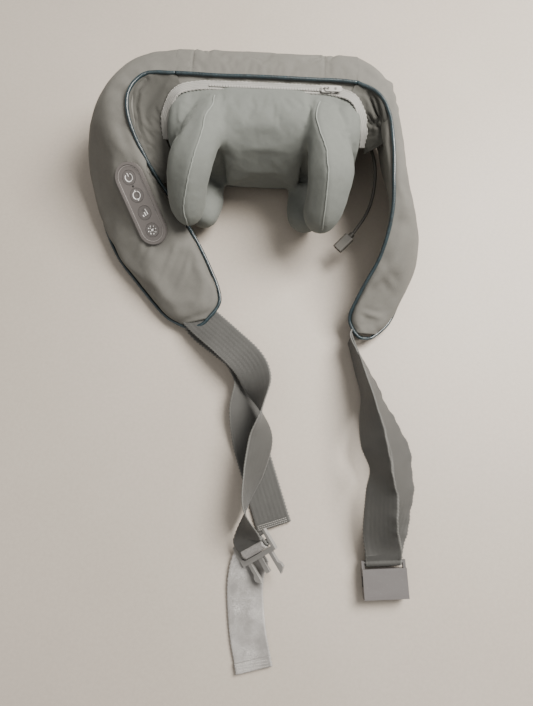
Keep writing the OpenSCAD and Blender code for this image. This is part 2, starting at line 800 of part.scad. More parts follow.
// Piping stands off the seam by its own radius, away from the lobe's middle
function stand_off(lobe, from_inner) =
    let (a = inner_seam(lobe), b = outer_seam(lobe), gap = piping_r + 1.1)
    [for (i = [0 : len(a) - 1]) from_inner
        ? a[i] + unit(a[i] - b[i]) * gap
        : b[i] + unit(b[i] - a[i]) * gap];

module lobe_piping(lobe) {
    inner = stand_off(lobe, true);
    outer = stand_off(lobe, false);
    color(NAVY) {
        cord([for (i = [1 : len(inner) - 1]) inner[i]], piping_r, [0.2, 0.3, 1], 8);
        cord([for (i = [9 : len(outer) - 1]) outer[i]], piping_r, [0.2, 0.3, 1], 8);
    }
}

module piping_left() { lobe_piping(left_lobe); }
module piping_right() { lobe_piping(right_lobe); }

// ---------------------------------------------------------- control panel

button_spots = [for (i = [0 : 3]) (i - 1.5) * button_pitch];

module panel_tray() {
    color([0.3, 0.3, 0.3]) on_panel() difference() {
        stadium(panel_len - 4, panel_wid - 4, -14, -2.4);
        stadium(panel_len - 8, panel_wid - 8, -12.4, 5);
    }
}

module panel_board() {
    color([0.1, 0.4, 0.22]) on_panel() {
        stadium(panel_len - 9, panel_wid - 9, -8.9, -7.3);
        for (x = button_spots) translate([x, 0, -7.3]) {
            translate([-3, -3, 0]) cube([6, 6, 2]);
            cylinder(r = 1.7, h = 2.9);
        }
    }
}

module panel_bezel() {
    color([0.45, 0.43, 0.43]) on_panel() difference() {
        union() {
            stadium(panel_len, panel_wid, -2, 1.2);
            difference() {
                stadium(panel_len - 1.4, panel_wid - 1.4, 1, 2);
                stadium(panel_len - 6, panel_wid - 6, 0, 5);
            }
        }
        for (x = button_spots) translate([x, 0, -5]) cylinder(r = button_r + 0.3, h = 12);
    }
}

module button(i) {
    color([0.42, 0.41, 0.41]) on_panel() translate([button_spots[i], 0, 0])
        difference() {
            union() {
                translate([0, 0, -3]) cylinder(r = button_r, h = 4.4);
                translate([0, 0, -3.2]) cylinder(r = button_r + 1.4, h = 0.9);
            }
            translate([0, 0, 21]) sphere(r = 20.1);
        }
}

module button_power() { button(0); }
module button_direction() { button(1); }
module button_speed() { button(2); }
module button_heat() { button(3); }

// ---------------------------------------------------------- charging lead

lead_path = [[109.6, 12, 70], [115, 10.6, 70], [123, 3, 69], [129, -17, 65],
             [130, -42, 56], [124, -67, 46], [110, -89, 36]];
lead_r = 1.9;
plug_dir = unit([-17, -18, -4]);
plug_side = unit(cross([0, 0, 1], plug_dir));
plug_up = cross(plug_dir, plug_side);

module on_plug(p) {
    multmatrix([[plug_side[0], plug_up[0], plug_dir[0], p[0]],
                [plug_side[1], plug_up[1], plug_dir[1], p[1]],
                [plug_side[2], plug_up[2], plug_dir[2], p[2]],
                [0, 0, 0, 1]]) children();
}

module lead_grommet() {
    color(BLACK) translate([case_half + 7.2, 12, 70]) rotate([0, 90, 0]) {
        cylinder(r = 5.5, h = 1.4);
        cylinder(r1 = 4, r2 = 2.8, h = 5);
    }
}

module charge_cable() {
    color(BLACK) cord(spline(lead_path, 5), lead_r, [0, 0, 1], 10);
}

plug_base = lead_path[6] + plug_dir * 0.9;

module charge_plug() {
    color(BLACK) on_plug(plug_base) difference() {
        union() {
            cylinder(r1 = 2.4, r2 = 3.2, h = 6);
            translate([0, 0, 6]) linear_extrude(20) rounded([-6.2, -3.6], [6.2, 3.6], 2.4);
        }
        translate([0, 0, 18]) linear_extrude(20) rounded([-4.5, -1.7], [4.5, 1.7], 1.6);
    }
}

module plug_contacts() {
    color("gold") on_plug(plug_base) translate([-3.2, -0.4, 18.1]) cube([6.4, 0.8, 6.5]);
}

// ---------------------------------------------------- webbing and buckles

// Stations are [x, y, z, width direction]
left_bar_mid = [14, -446, 20];
left_bar_dir = unit([0.63, 0.44, 0.5]);
left_bar_fwd = unit(cross(left_bar_dir, [0, 0, 1]));
left_bar_up = cross(left_bar_fwd, left_bar_dir);
bar_r = 2.2;
wrap_r = bar_r + 0.5 + web_t / 2;

// Point round a bar: a in degrees from straight behind it, over the top
function around(mid, fwd, up, a) = mid + wrap_r * (-cos(a) * fwd + sin(a) * up);

function wrap(mid, dir, fwd, up, a0, a1, n) = [
    for (k = [0 : n]) let (a = mix(a0, a1, k / n), p = around(mid, fwd, up, a))
        [p[0], p[1], p[2], dir[0], dir[1], dir[2]]];

strap_left_run = concat(
    spline([[-57, -206, 20, -0.76, -0.65, 0], [-34, -232, 24, -0.82, -0.56, 0.05],
        [-6, -260, 28, -0.88, -0.42, -0.2], [8, -288, 31, -0.6, -0.3, -0.75],
        [11, -318, 28, 0.12, -0.08, -0.99], [7, -350, 25, 0.72, 0.08, -0.68],
        [2, -384, 26, 0.5, 0.12, -0.86], [-2.5, -414, 28, 0.12, 0, -0.99],
        [each (left_bar_mid - 10 * left_bar_fwd + 5 * left_bar_up), each -left_bar_dir]], 3),
    wrap(left_bar_mid, -left_bar_dir, left_bar_fwd, left_bar_up, 98, 215, 5));

module strap_left() { color(GREY) webbing(strap_left_run, web_w, web_t, 0); }

// Second layer, sewn under the first, and the adjuster's free tail
strap_left_under = [[-59, -210, 9, 0.8, 0.6, 0], [-34, -262, 3.4, 0.9, 0.42, 0],
                    [-7, -318, 2.4, 0.95, 0.3, 0], [14, -372, 2, 0.95, 0.3, 0],
                    [32, -419, 2, 0.94, 0.33, 0]];
strap_left_tail = [[6, -466, 4, 1, 0.02, 0], [6, -492, 3, 1, 0.04, 0],
                   [11, -530, 2, 0.99, 0.1, 0], [20, -566, 2, 0.98, 0.2, 0]];

module strap_left_lower() {
    color(GREY) {
        webbing(strap_left_under, web_w, web_t, 3);
        webbing([for (q = [0 : 1]) let (e = strap_left_under[4], f = [0.35, -0.93, 0])
            [e[0] + (q - 1) * 8 * f[0], e[1] + (q - 1) * 8 * f[1], 4, e[3], e[4], 0]],
            web_w, web_t, 1);
        webbing(strap_left_tail, web_w, web_t, 3);
        webbing([for (q = [0 : 1]) let (e = strap_left_tail[3], f = [0.26, -0.96, 0])
            [e[0] + (q - 1) * 9 * f[0], e[1] + (q - 1) * 9 * f[1], 4, e[3], e[4], 0]],
            web_w, web_t, 1);
    }
}

// Children drawn with X along the bar, Y towards the prongs, Z up
module on_left_bar() {
    d = left_bar_dir; f = left_bar_fwd; u = cross(d, f);
    m = left_bar_mid;
    multmatrix([[d[0], f[0], u[0], m[0]], [d[1], f[1], u[1], m[1]],
                [d[2], f[2], u[2], m[2]], [0, 0, 0, 1]]) children();
}

module buckle_male() {
    half = web_w / 2 + 1.2;
    frame = 3.4;
    color([0.5, 0.5, 0.49]) on_left_bar() {
        for (y = [0, -9.5]) translate([-half - 1, y, 0]) rotate([0, 90, 0])
            cylinder(r = bar_r, h = 2 * half + 2);
        for (s = [-1, 1]) translate([s > 0 ? half : -half - frame, -11.7, -2.4])
            cube([frame, 23, 4.8]);
        translate([-half - 1, 6.5, -2.4]) cube([2 * half + 2, 5, 4.8]);
        for (s = [-1, 1]) translate([s * (half - 5), 11, -2]) {
            translate([-2, 0, 0]) cube([4, 21, 4]);
            linear_extrude(4) polygon([[-2, 14], [s > 0 ? -2 : 2, 24],
                [s * 4.5, 19], [s * 4.5, 15], [s * 2, 12]]);
        }
        translate([-2.5, 11, -1.6]) cube([5, 17, 3.2]);
    }
}

right_bar_mid = [150, -454, 11];
right_bar_dir = unit([1, 0.09, 0]);
right_fwd = unit([0.09, -1, 0]);

strap_right_run = concat(
    spline([[138, -211, 20, 0.5, 0.2, -0.85], [143, -234, 23, 0.5, 0.2, -0.84],
        [152, -272, 22, 0.75, 0.3, -0.6], [164, -318, 20, 0.93, 0.3, 0.25],
        [168, -362, 20, 0.93, -0.05, 0.35], [161, -408, 17, 0.95, 0, 0.2],
        [151.5, -444, 9.2, each right_bar_dir]], 3),
    wrap(right_bar_mid, right_bar_dir, right_fwd, [0, 0, -1], 80, 245, 6),
    spline([[149.5, -445, 18.5, each right_bar_dir],
        [147, -414, 34, 0.9, 0.2, 0.35], [141, -378, 42, 0.8, 0.1, 0.6],
        [138, -342, 45, 0.45, -0.1, 0.89], [133, -302, 45, 0.7, 0.2, 0.7],
        [128, -262, 40, 0.3, 0.3, 0.9], [122, -232, 37, 0.4, 0.3, 0.85],
        [118, -214, 34, 0.45, 0.25, 0.85]], 3));

module strap_right() { color(GREY) webbing(strap_right_run, web_w, web_t, 0); }

module buckle_female() {
    half = web_w / 2 + 1.2;
    shell = 2;
    d = right_bar_dir; f = right_fwd; u = cross(d, f) * -1;
    m = right_bar_mid;
    color([0.5, 0.49, 0.48])
        multmatrix([[d[0], -f[0], 0, m[0]], [d[1], -f[1], 0, m[1]],
                    [d[2], -f[2], 1, m[2]], [0, 0, 0, 1]]) difference() {
            union() {
                translate([-half - 1, 0, 0]) rotate([0, 90, 0])
                    cylinder(r = bar_r, h = 2 * half + 2);
                for (s = [-1, 1]) translate([s > 0 ? half : -half - 3, -8, -bar_r])
                    cube([3, 10.2, 2 * bar_r]);
                translate([-half - 3, -buckle_len, -buckle_thick / 2])
                    cube([2 * half + 6, buckle_len - 6, buckle_thick]);
            }
            translate([-half - 0.5, -buckle_len - 1, -buckle_thick / 2 + shell])
                cube([2 * half + 1, buckle_len - 8, buckle_thick - 2 * shell]);
            for (s = [-1, 1]) translate([s * (half + 2) - 2.5, -24, -buckle_thick / 2 + shell])
                cube([5, 11, buckle_thick - 2 * shell]);
        }
}

// ------------------------------------------------------------------- nodes

front_shell();
rear_shell();
screws();
gearbox_left();
gearbox_right();
motor_can();
motor_end_cap();
motor_shaft();
worm();
drive_shaft();
worm_wheel();
hub_left();
hub_right();
hub_bearings();
shaft_bushes();
limit_guides();
hand_left();
hand_right();
finger_pads_left();
finger_pads_right();
sleeves_left();
sleeves_right();
battery_cells();
battery_holder();
main_board();
board_parts();
heater_film();
wiring_harness();
rear_foam();
base_cover();
cover_centre();
piping_centre();
inner_lining();
module_cover();
zip_tape();
zip_teeth();
zip_slider();
zip_pull();
cover_left();
filling_left();
piping_left();
panel_tray();
panel_board();
panel_bezel();
button_power();
button_direction();
button_speed();
button_heat();
cover_right();
filling_right();
piping_right();
lead_grommet();
charge_cable();
charge_plug();
plug_contacts();
strap_left();
strap_left_lower();
buckle_male();
strap_right();
buckle_female();
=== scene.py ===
import json
import math

import bmesh
import bpy
import numpy as np
from mathutils import Matrix, Vector, noise
from mathutils.bvhtree import BVHTree


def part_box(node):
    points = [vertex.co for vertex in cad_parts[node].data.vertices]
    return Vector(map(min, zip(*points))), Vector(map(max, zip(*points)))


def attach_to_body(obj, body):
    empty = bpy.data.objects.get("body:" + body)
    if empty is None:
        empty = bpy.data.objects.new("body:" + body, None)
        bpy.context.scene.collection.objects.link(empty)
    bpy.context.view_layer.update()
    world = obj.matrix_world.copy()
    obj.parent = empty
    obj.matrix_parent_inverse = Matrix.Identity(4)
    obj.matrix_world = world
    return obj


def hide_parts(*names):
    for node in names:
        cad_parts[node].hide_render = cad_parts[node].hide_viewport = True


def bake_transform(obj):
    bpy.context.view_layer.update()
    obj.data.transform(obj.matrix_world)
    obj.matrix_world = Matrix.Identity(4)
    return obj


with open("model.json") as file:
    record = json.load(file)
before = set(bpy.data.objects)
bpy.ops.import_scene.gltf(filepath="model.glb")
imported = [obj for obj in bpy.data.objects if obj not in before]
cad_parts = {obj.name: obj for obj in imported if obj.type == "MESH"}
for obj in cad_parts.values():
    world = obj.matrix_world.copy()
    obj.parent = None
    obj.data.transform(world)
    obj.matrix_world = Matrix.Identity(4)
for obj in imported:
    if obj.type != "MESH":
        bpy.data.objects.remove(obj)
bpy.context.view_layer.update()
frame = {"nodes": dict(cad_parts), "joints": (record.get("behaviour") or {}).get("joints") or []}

MM = 0.001
JOINTS = {joint["name"]: joint for joint in frame["joints"]}


# ---------------------------------------------------------------- small maths

def unit(v):
    """Vector of length one."""
    v = np.asarray(v, float)
    return v / max(np.linalg.norm(v), 1e-12)


def smooth(x):
    """Smooth step from 0 to 1."""
    x = np.clip(x, 0, 1)
    return x * x * (3 - 2 * x)


def pivot(joint):
    """Where a joint turns, in millimetres."""
    return np.array(JOINTS[joint]["pos_m"]) / MM


def middle(node):
    """Middle of a CAD node's box, in millimetres."""
    low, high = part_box(node)
    return (np.array(low) + np.array(high)) / 2 / MM


def spline(points, n):
    """Smooth curve through every point, n steps from each to the next."""
    p = np.asarray(points, float)
    out = []
    last = len(p) - 2
    for i in range(len(p) - 1):
        b, c = p[i], p[i + 1]
        a = p[i - 1] if i else 2 * b - c
        d = p[i + 2] if i < last else 2 * c - b
        for k in range(n + (1 if i == last else 0)):
            f = k / n
            out.append(0.5 * (2 * b + (c - a) * f + (2 * a - 5 * b + 4 * c - d) * f * f
                              + (3 * b - a - 3 * c + d) * f ** 3))
    return np.array(out)


def lengths(path):
    """Distance along a path at each of its points."""
    return np.concatenate([[0], np.cumsum(np.linalg.norm(np.diff(path, axis=0), axis=1))])


def resample(path, step):
    """The path at even steps, and the distance along it; all columns follow."""
    path = np.asarray(path, float)
    s = lengths(path[:, :3])
    n = max(2, int(round(s[-1] / step)) + 1)
    t = np.linspace(0, s[-1], n)
    return np.column_stack([np.interp(t, s, path[:, k]) for k in range(path.shape[1])]), t


def tangents(p):
    """Direction of a path at each of its points."""
    t = np.gradient(p[:, :3], axis=0)
    return t / np.maximum(np.linalg.norm(t, axis=1, keepdims=True), 1e-9)


def fbm(p, scale, seed):
    """Soft noise that is the same every time."""
    q = Vector((p[0] * scale + seed, p[1] * scale - seed, p[2] * scale + 2 * seed))
    return noise.fractal(q, 1.0, 2.0, 3)


# ------------------------------------------------------------- mesh building

def make(name, verts, faces, attributes=None, material=None, smooth_shade=True):
    """Object from vertices in millimetres."""
    mesh = bpy.data.meshes.new(name)
    mesh.from_pydata([tuple(v) for v in np.asarray(verts, float) * MM], [], faces)
    mesh.validate()
    if smooth_shade:
        mesh.polygons.foreach_set("use_smooth", [True] * len(mesh.polygons))
    for key, values in (attributes or {}).items():
        layer = mesh.attributes.new(key, "FLOAT", "POINT")
        layer.data.foreach_set("value", np.asarray(values, np.float32))
    obj = bpy.data.objects.new(name, mesh)
    bpy.context.scene.collection.objects.link(obj)
    if material:
        mesh.materials.append(material)
    return obj


def tube_faces(n, m, ends=True, closed=False):
    """Faces over n rings of m points."""
    faces = []
    for i in range(n if closed else n - 1):
        k = (i + 1) % n
        for j in range(m):
            faces.append((i * m + j, k * m + j, k * m + (j + 1) % m, i * m + (j + 1) % m))
    if ends and not closed:
        faces.append(tuple(range(m)))
        faces.append(tuple((n - 1) * m + m - 1 - j for j in range(m)))
    return faces


def skin_rings(name, rings, material=None, attributes=None, ends=True, closed=False, shaded=True):
    """Skin over equal rings of points, with flat ends or joined round."""
    n, m = np.shape(rings)[:2]
    return make(name, np.reshape(rings, (-1, 3)), tube_faces(n, m, ends, closed), attributes,
                material, shaded)


def turns(sides):
    """Angles evenly round a circle."""
    return np.linspace(0, 2 * math.pi, sides + 1)[:-1]


def tube(name, path, radius, material, sides=12, up=(0, 0, 1)):
    """Round cord along a path."""
    path = np.asarray(path, float)
    t = tangents(path)
    u = np.asarray(up)
    rings = []
    for i in range(len(path)):
        u = unit(u - np.dot(u, t[i]) * t[i])
        v = np.cross(t[i], u)
        angles = [2 * math.pi * j / sides for j in range(sides)]
        rings.append([path[i] + radius * (math.cos(a) * u + math.sin(a) * v) for a in angles])
    return skin_rings(name, rings, material, {"along": np.repeat(lengths(path), sides)})


def coords(obj):
    """Vertices of an object, in millimetres."""
    co = np.zeros(len(obj.data.vertices) * 3)
    obj.data.vertices.foreach_get("co", co)
    return co.reshape(-1, 3) / MM


def set_coords(obj, co):
    obj.data.vertices.foreach_set("co", (np.asarray(co) * MM).ravel())
    obj.data.update()


def normals(obj):
    obj.data.update()
    n = np.zeros(len(obj.data.vertices) * 3)
    obj.data.vertex_normals.foreach_get("vector", n)
    return n.reshape(-1, 3)


def apply_modifiers(obj):
    dg = bpy.context.evaluated_depsgraph_get()
    mesh = bpy.data.meshes.new_from_object(obj.evaluated_get(dg), preserve_all_data_layers=True,
                                           depsgraph=dg)
    obj.modifiers.clear()
    old = obj.data
    obj.data = mesh
    bpy.data.meshes.remove(old)


def modify(obj, kind, **settings):
    """Adds one modifier and applies it."""
    m = obj.modifiers.new("m", kind)
    for key, value in settings.items():
        setattr(m, key, value)
    apply_modifiers(obj)


def subdivide(obj):
    modify(obj, "SUBSURF", levels=1, render_levels=1, use_limit_surface=False)


def relax(obj, rounds, factor=0.5, keep=0.0):
    """Laplacian smoothing; keep is a weight per vertex, 1 holds it still."""
    co = coords(obj)
    edges = np.zeros(len(obj.data.edges) * 2, np.int32)
    obj.data.edges.foreach_get("vertices", edges)
    a, b = edges.reshape(-1, 2).T
    count = np.bincount(a, minlength=len(co)) + np.bincount(b, minlength=len(co))
    move = factor * (1 - keep * np.ones(len(co)))[:, None]
    for _ in range(rounds):
        total = np.zeros_like(co)
        np.add.at(total, a, co[b])
        np.add.at(total, b, co[a])
        co = co + move * (total / np.maximum(count, 1)[:, None] - co)
    set_coords(obj, co)


def ripple(obj, *waves, fade=None):
    """Unevenness of cloth along the normals; each wave is (height, scale, seed)."""
    co, nor = coords(obj), normals(obj)
    lift = np.array([sum(h * fbm(p, scale, seed) for h, scale, seed in waves) for p in co])
    if fade is not None:
        lift = lift * fade(co)
    set_coords(obj, co + nor * lift[:, None])


def simulate(obj, pinned, pressure, grow, cap, frames, stiffness, bend):
    """Inflates obj as cloth with some vertices held, and keeps the result; no point
    moves further than cap millimetres."""
    rest = coords(obj)
    group = obj.vertex_groups.new(name="pin")
    group.add([int(i) for i in np.nonzero(pinned)[0]], 1.0, "REPLACE")
    mod = obj.modifiers.new("cloth", "CLOTH")
    s = mod.settings
    s.quality = 5
    s.mass = 0.3
    s.tension_stiffness = s.compression_stiffness = stiffness
    s.shear_stiffness = stiffness / 3
    s.bending_stiffness = bend
    s.use_pressure = True
    s.uniform_pressure_force = pressure
    s.shrink_min = -grow
    s.vertex_group_mass = "pin"
    s.effector_weights.gravity = 0
    mod.collision_settings.use_collision = False
    mod.collision_settings.use_self_collision = False
    mod.point_cache.frame_start = 1
    mod.point_cache.frame_end = frames
    scene = bpy.context.scene
    for f in range(1, frames + 1):
        scene.frame_set(f)
    ev = obj.evaluated_get(bpy.context.evaluated_depsgraph_get())
    move = coords(ev) - rest
    obj.modifiers.clear()
    obj.vertex_groups.clear()
    scene.frame_set(1)
    size = np.linalg.norm(move, axis=1, keepdims=True)
    move *= np.minimum(1, cap / np.maximum(size, 1e-9))
    set_coords(obj, rest + np.nan_to_num(move))


def fold(obj, path, width, depth, lip=0.0):
    """Presses a crease along a path (mm), with an optional raised lip each side."""
    co = coords(obj)
    n = normals(obj)
    p, s = resample(path, 2.0)
    best = np.full(len(co), 1e9)
    where = np.zeros(len(co))
    for i in range(len(p) - 1):
        d = p[i + 1] - p[i]
        t = np.clip(((co - p[i]) @ d) / (d @ d), 0, 1)
        dist = np.linalg.norm(co - (p[i] + t[:, None] * d), axis=1)
        m = dist < best
        best[m] = dist[m]
        where[m] = s[i] + t[m] * (s[i + 1] - s[i])
    taper = np.sin(np.pi * np.clip(where / s[-1], 0.04, 0.96)) ** 0.6
    x = best / width
    shape = -depth * np.exp(-x * x) + lip * np.exp(-((x - 1.9) ** 2) * 1.2)
    set_coords(obj, co + n * (shape * taper)[:, None])


def on_surface(obj, points, lift=0.0):
    """Nearest points of obj's surface, lifted off it."""
    tree = BVHTree.FromObject(obj, bpy.context.evaluated_depsgraph_get())
    out = []
    for p in np.asarray(points, float):
        hit = tree.find_nearest(Vector(p * MM))
        out.append(np.array(hit[0]) / MM + np.array(hit[1]) * lift)
    return np.array(out)


def attach(obj, slot, bodies, *nodes):
    """Hides the CAD nodes obj stands in for and hangs obj on its body; given two bodies and the
    points where the first ends and the second begins, obj only keeps its place in the world.
    slot is not used."""
    if nodes:
        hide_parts(*nodes)
    if isinstance(bodies, str):
        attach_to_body(obj, bodies)
    else:
        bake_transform(obj)


# ----------------------------------------------------------------- materials

class Nodes:
    """Short helper for building a node tree."""

    def __init__(self, name):
        self.mat = bpy.data.materials.new(name)
        self.mat.use_nodes = True
        self.t = self.mat.node_tree
        self.t.nodes.clear()
        self.bsdf = self.t.nodes.new("ShaderNodeBsdfPrincipled")
        out = self.t.nodes.new("ShaderNodeOutputMaterial")
        self.t.links.new(self.bsdf.outputs[0], out.inputs[0])
        self.object = self.add("TexCoord", "Object", {})

    def put(self, node, key, value):
        if isinstance(value, bpy.types.NodeSocket):
            self.t.links.new(value, node.inputs[key])
        else:
            node.inputs[key].default_value = value

    def add(self, kind, out, inputs, **settings):
        """Adds a node with its settings and inputs, and returns one of its outputs."""
        n = self.t.nodes.new("ShaderNode" + kind)
        for key, value in settings.items():
            setattr(n, key, value)
        for key, value in inputs.items():
            self.put(n, key, value)
        return n.outputs[out]

    def finish(self, base, rough, normal, **values):
        """Joins colour, roughness and bump to the surface, and returns the material."""
        values.update(Base_Color=base, Roughness=rough, Normal=normal)
        for key, value in values.items():
            self.put(self.bsdf, key.replace("_", " "), value)
        return self.mat

    def math(self, op, *values):
        return self.add("Math", 0, dict(enumerate(values)), operation=op)

    def times(self, a, b):
        return self.math("MULTIPLY", a, b)

    def plus(self, a, b):
        return self.math("ADD", a, b)

    def wave(self, x, pitch):
        return self.math("SINE", self.times(x, 2 * math.pi / pitch))

    def noise(self, scale, detail=3.0, rough=0.55, vector=None, distortion=0.0):
        return self.add("TexNoise", "Fac", {
            "Vector": self.object if vector is None else vector, "Scale": scale,
            "Detail": detail, "Roughness": rough, "Distortion": distortion})

    def voronoi(self, scale, feature="F1", vector=None):
        vector = self.object if vector is None else vector
        return self.add("TexVoronoi", "Distance", {"Vector": vector, "Scale": scale},
                        feature=feature)

    def stretch(self, *factors):
        return self.add("VectorMath", 0, {0: self.object, 1: factors}, operation="MULTIPLY")

    def attribute(self, name):
        return self.add("Attribute", "Fac", {}, attribute_name=name)

    def ramp(self, fac, *stops):
        out = self.add("ValToRGB", "Color", {"Fac": fac})
        r = out.node.color_ramp
        while len(r.elements) < len(stops):
            r.elements.new(0.5)
        for e, (at, c) in zip(r.elements, stops):
            e.position = at
            e.color = (*c, 1) if isinstance(c, tuple) else (c, c, c, 1)
        return out

    def vary(self, fac, low, high):
        """Ramp over the middle of a noise."""
        return self.ramp(fac, (0.3, low), (0.7, high))

    def mix(self, fac, a, b):
        """a where fac is 0 and b where it is 1; each is a colour or a socket."""
        a, b = (c if isinstance(c, bpy.types.NodeSocket) else (*c, 1) for c in (a, b))
        return self.add("Mix", 2, {"Factor": fac, 6: a, 7: b}, data_type="RGBA")

    def bump(self, height, strength, distance, over=None):
        inputs = {"Height": height, "Strength": strength, "Distance": distance}
        if over is not None:
            inputs["Normal"] = over
        return self.add("Bump", 0, inputs)

    def edges(self):
        """1 on worn convex edges, 0 on flats."""
        pointiness = self.add("NewGeometry", "Pointiness", {})
        return self.ramp(pointiness, (0.5, 0.0), (0.58, 1.0))


def shade(c, k):
    """A colour made k times as bright."""
    return tuple(min(1.0, v * k) for v in c)


def fabric(name, colour, knit=1500.0, sheen=0.25, rough=0.85, mottle=0.12):
    """Fine knit: small loops in rows, soft blotches, a little sheen."""
    n = Nodes(name)
    loops = n.voronoi(knit, vector=n.stretch(1.0, 1.0, 0.8))
    fibre = n.noise(knit * 1.7, 4, 0.7)
    blotch = n.noise(14, 5, 0.6, distortion=0.4)
    fine = n.noise(180, 3, 0.6)
    base = n.ramp(blotch, (0.3, shade(colour, 1 - mottle)), (0.55, colour),
                  (0.78, shade(colour, 1 + mottle)))
    base = n.mix(0.35, base, n.ramp(fine, (0.35, shade(colour, 0.9)), (0.7, shade(colour, 1.1))))
    base = n.mix(n.ramp(loops, (0.0, 0.0), (0.75, 0.4)), base, shade(colour, 0.72))
    knitted = n.bump(n.plus(n.times(loops, -1.0), n.times(fibre, 0.6)), 0.35, 0.00022)
    soft = n.bump(n.noise(95, 4, 0.55), 0.16, 0.0012, knitted)
    return n.finish(base, n.vary(fibre, rough - 0.08, rough + 0.08), soft, Sheen_Weight=sheen,
                    Sheen_Roughness=0.45, Sheen_Tint=(*shade(colour, 1.6), 1),
                    Specular_IOR_Level=0.25)


def webbing_material(name, colour, edge=0.8, glint=0.0):
    """Nylon webbing: herringbone ribs from the along and across attributes (mm), with a painted
    highlight along both edges.
    """
    n = Nodes(name)
    along, across = n.attribute("along"), n.attribute("across")
    zigzag = n.math("PINGPONG", across, 2.4)
    warp = n.wave(n.plus(along, n.times(zigzag, 0.9)), 1.15)
    weave = n.plus(n.times(warp, 0.5), n.times(n.wave(across, 0.8), 0.28))
    yarn = n.noise(2600, 3, 0.7)
    # side marks both edges, painted edge times as bright: a painted highlight on the webbing's
    # rounded edges
    side = n.ramp(n.math("ABSOLUTE", n.math("DIVIDE", across, 19.0)), (0.9, 0.0), (0.97, 1.0))
    base = n.ramp(n.noise(35, 5, 0.65), (0.3, shade(colour, 0.86)), (0.55, colour),
                  (0.8, shade(colour, 1.14)))
    base = n.mix(n.ramp(weave, (0.0, 0.45), (0.5, 0.0)), base, shade(colour, 0.62))
    base = n.mix(side, base, shade(colour, edge))
    patches = n.times(n.ramp(n.noise(34, 4, 0.6), (0.40, 0.0), (0.66, 1.0)),
                      n.ramp(n.noise(1700, 3, 0.7), (0.44, 0.0), (0.60, glint)))
    base = n.mix(patches, base, (0.86, 0.84, 0.82))
    relief = n.bump(n.plus(weave, n.times(yarn, 0.5)), 0.55, 0.00028)
    return n.finish(base, n.vary(yarn, 0.5, 0.72), relief, Sheen_Weight=0.15,
                    Sheen_Roughness=0.4, Specular_IOR_Level=0.45)


def plastic(name, colour, rough=0.5, grain=900.0, bump=0.14, wear=1.25, dust=0.1):
    """Moulded plastic: spark-eroded grain, faint flow marks, paler worn edges."""
    n = Nodes(name)
    flow = n.noise(22, 4, 0.6, n.stretch(1, 2.5, 1), 0.6)
    speck = n.ramp(n.noise(420, 2, 0.8), (0.62, 0.0), (0.74, 1.0))
    base = n.vary(flow, shade(colour, 0.94), shade(colour, 1.06))
    base = n.mix(n.times(n.edges(), 0.6), base, shade(colour, wear))
    base = n.mix(n.times(speck, dust), base, (0.55, 0.53, 0.5))
    return n.finish(base, n.vary(flow, rough - 0.06, rough + 0.08),
                    n.bump(n.voronoi(grain), bump, 0.00012))


def metal(name, colour, rough=0.32, brushed=(1, 1, 60)):
    """Machined metal: fine directional scratches and uneven tarnish."""
    n = Nodes(name)
    lines = n.noise(120, 4, 0.7, n.stretch(*brushed))
    base = n.vary(n.noise(60, 4, 0.6), shade(colour, 0.8), colour)
    base = n.mix(n.times(n.edges(), 0.5), base, shade(colour, 1.3))
    return n.finish(base, n.vary(lines, rough - 0.07, rough + 0.14),
                    n.bump(lines, 0.12, 0.0001), Metallic=1.0)


def circuit(name):
    """Green solder mask over faint copper tracks."""
    n = Nodes(name)
    tracks = n.voronoi(230, "DISTANCE_TO_EDGE")
    base = n.mix(n.ramp(tracks, (0.03, 1.0), (0.06, 0.0)), (0.015, 0.10, 0.045), (0.03, 0.2, 0.08))
    base = n.mix(n.ramp(n.voronoi(420), (0.12, 1.0), (0.16, 0.0)), base, (0.55, 0.52, 0.42))
    return n.finish(base, n.vary(n.noise(80), 0.28, 0.42), n.bump(tracks, 0.2, 0.00008),
                    Coat_Weight=0.25)


def rubber(name, colour, rough=0.42):
    """Soft rubber with smears and a fine grain."""
    n = Nodes(name)
    fine = n.noise(600, 3, 0.7)
    base = n.vary(n.noise(28, 4, 0.6), shade(colour, 0.85), shade(colour, 1.2))
    base = n.mix(n.times(n.edges(), 0.4), base, shade(colour, 1.8))
    return n.finish(base, n.vary(fine, rough - 0.06, rough + 0.1), n.bump(fine, 0.12, 0.0001))


def cord_material(name, colour, gloss=0.24):
    """Coated piping: shiny teal film with fine ribs round the cord and scuffs."""
    n = Nodes(name)
    wobble = n.noise(210, 3, 0.6)
    scuff = n.noise(55, 5, 0.7)
    base = n.vary(wobble, shade(colour, 0.6), shade(colour, 1.5))
    base = n.mix(n.ramp(scuff, (0.55, 0.0), (0.75, 0.25)), base, (0.05, 0.10, 0.12))
    height = n.plus(n.times(n.wave(n.attribute("along"), 1.6), 0.25), wobble)
    return n.finish(base, n.vary(scuff, gloss, gloss + 0.2), n.bump(height, 0.45, 0.0005),
                    Coat_Weight=0.55, Coat_Roughness=0.16)


def tape_material(name, colour):
    """Zip tape: fine lines along its length and a woven bump."""
    n = Nodes(name)
    lines = n.wave(n.attribute("across"), 2.1)
    fray = n.noise(900, 4, 0.8)
    base = n.mix(n.ramp(lines, (0.0, 0.0), (0.7, 0.75)), colour, shade(colour, 0.6))
    base = n.mix(n.ramp(fray, (0.4, 0.0), (0.7, 0.4)), base, shade(colour, 1.25))
    height = n.plus(n.times(n.wave(n.attribute("along"), 0.7), 0.4), lines)
    return n.finish(base, n.vary(fray, 0.62, 0.8), n.bump(height, 0.4, 0.0003), Sheen_Weight=0.2)


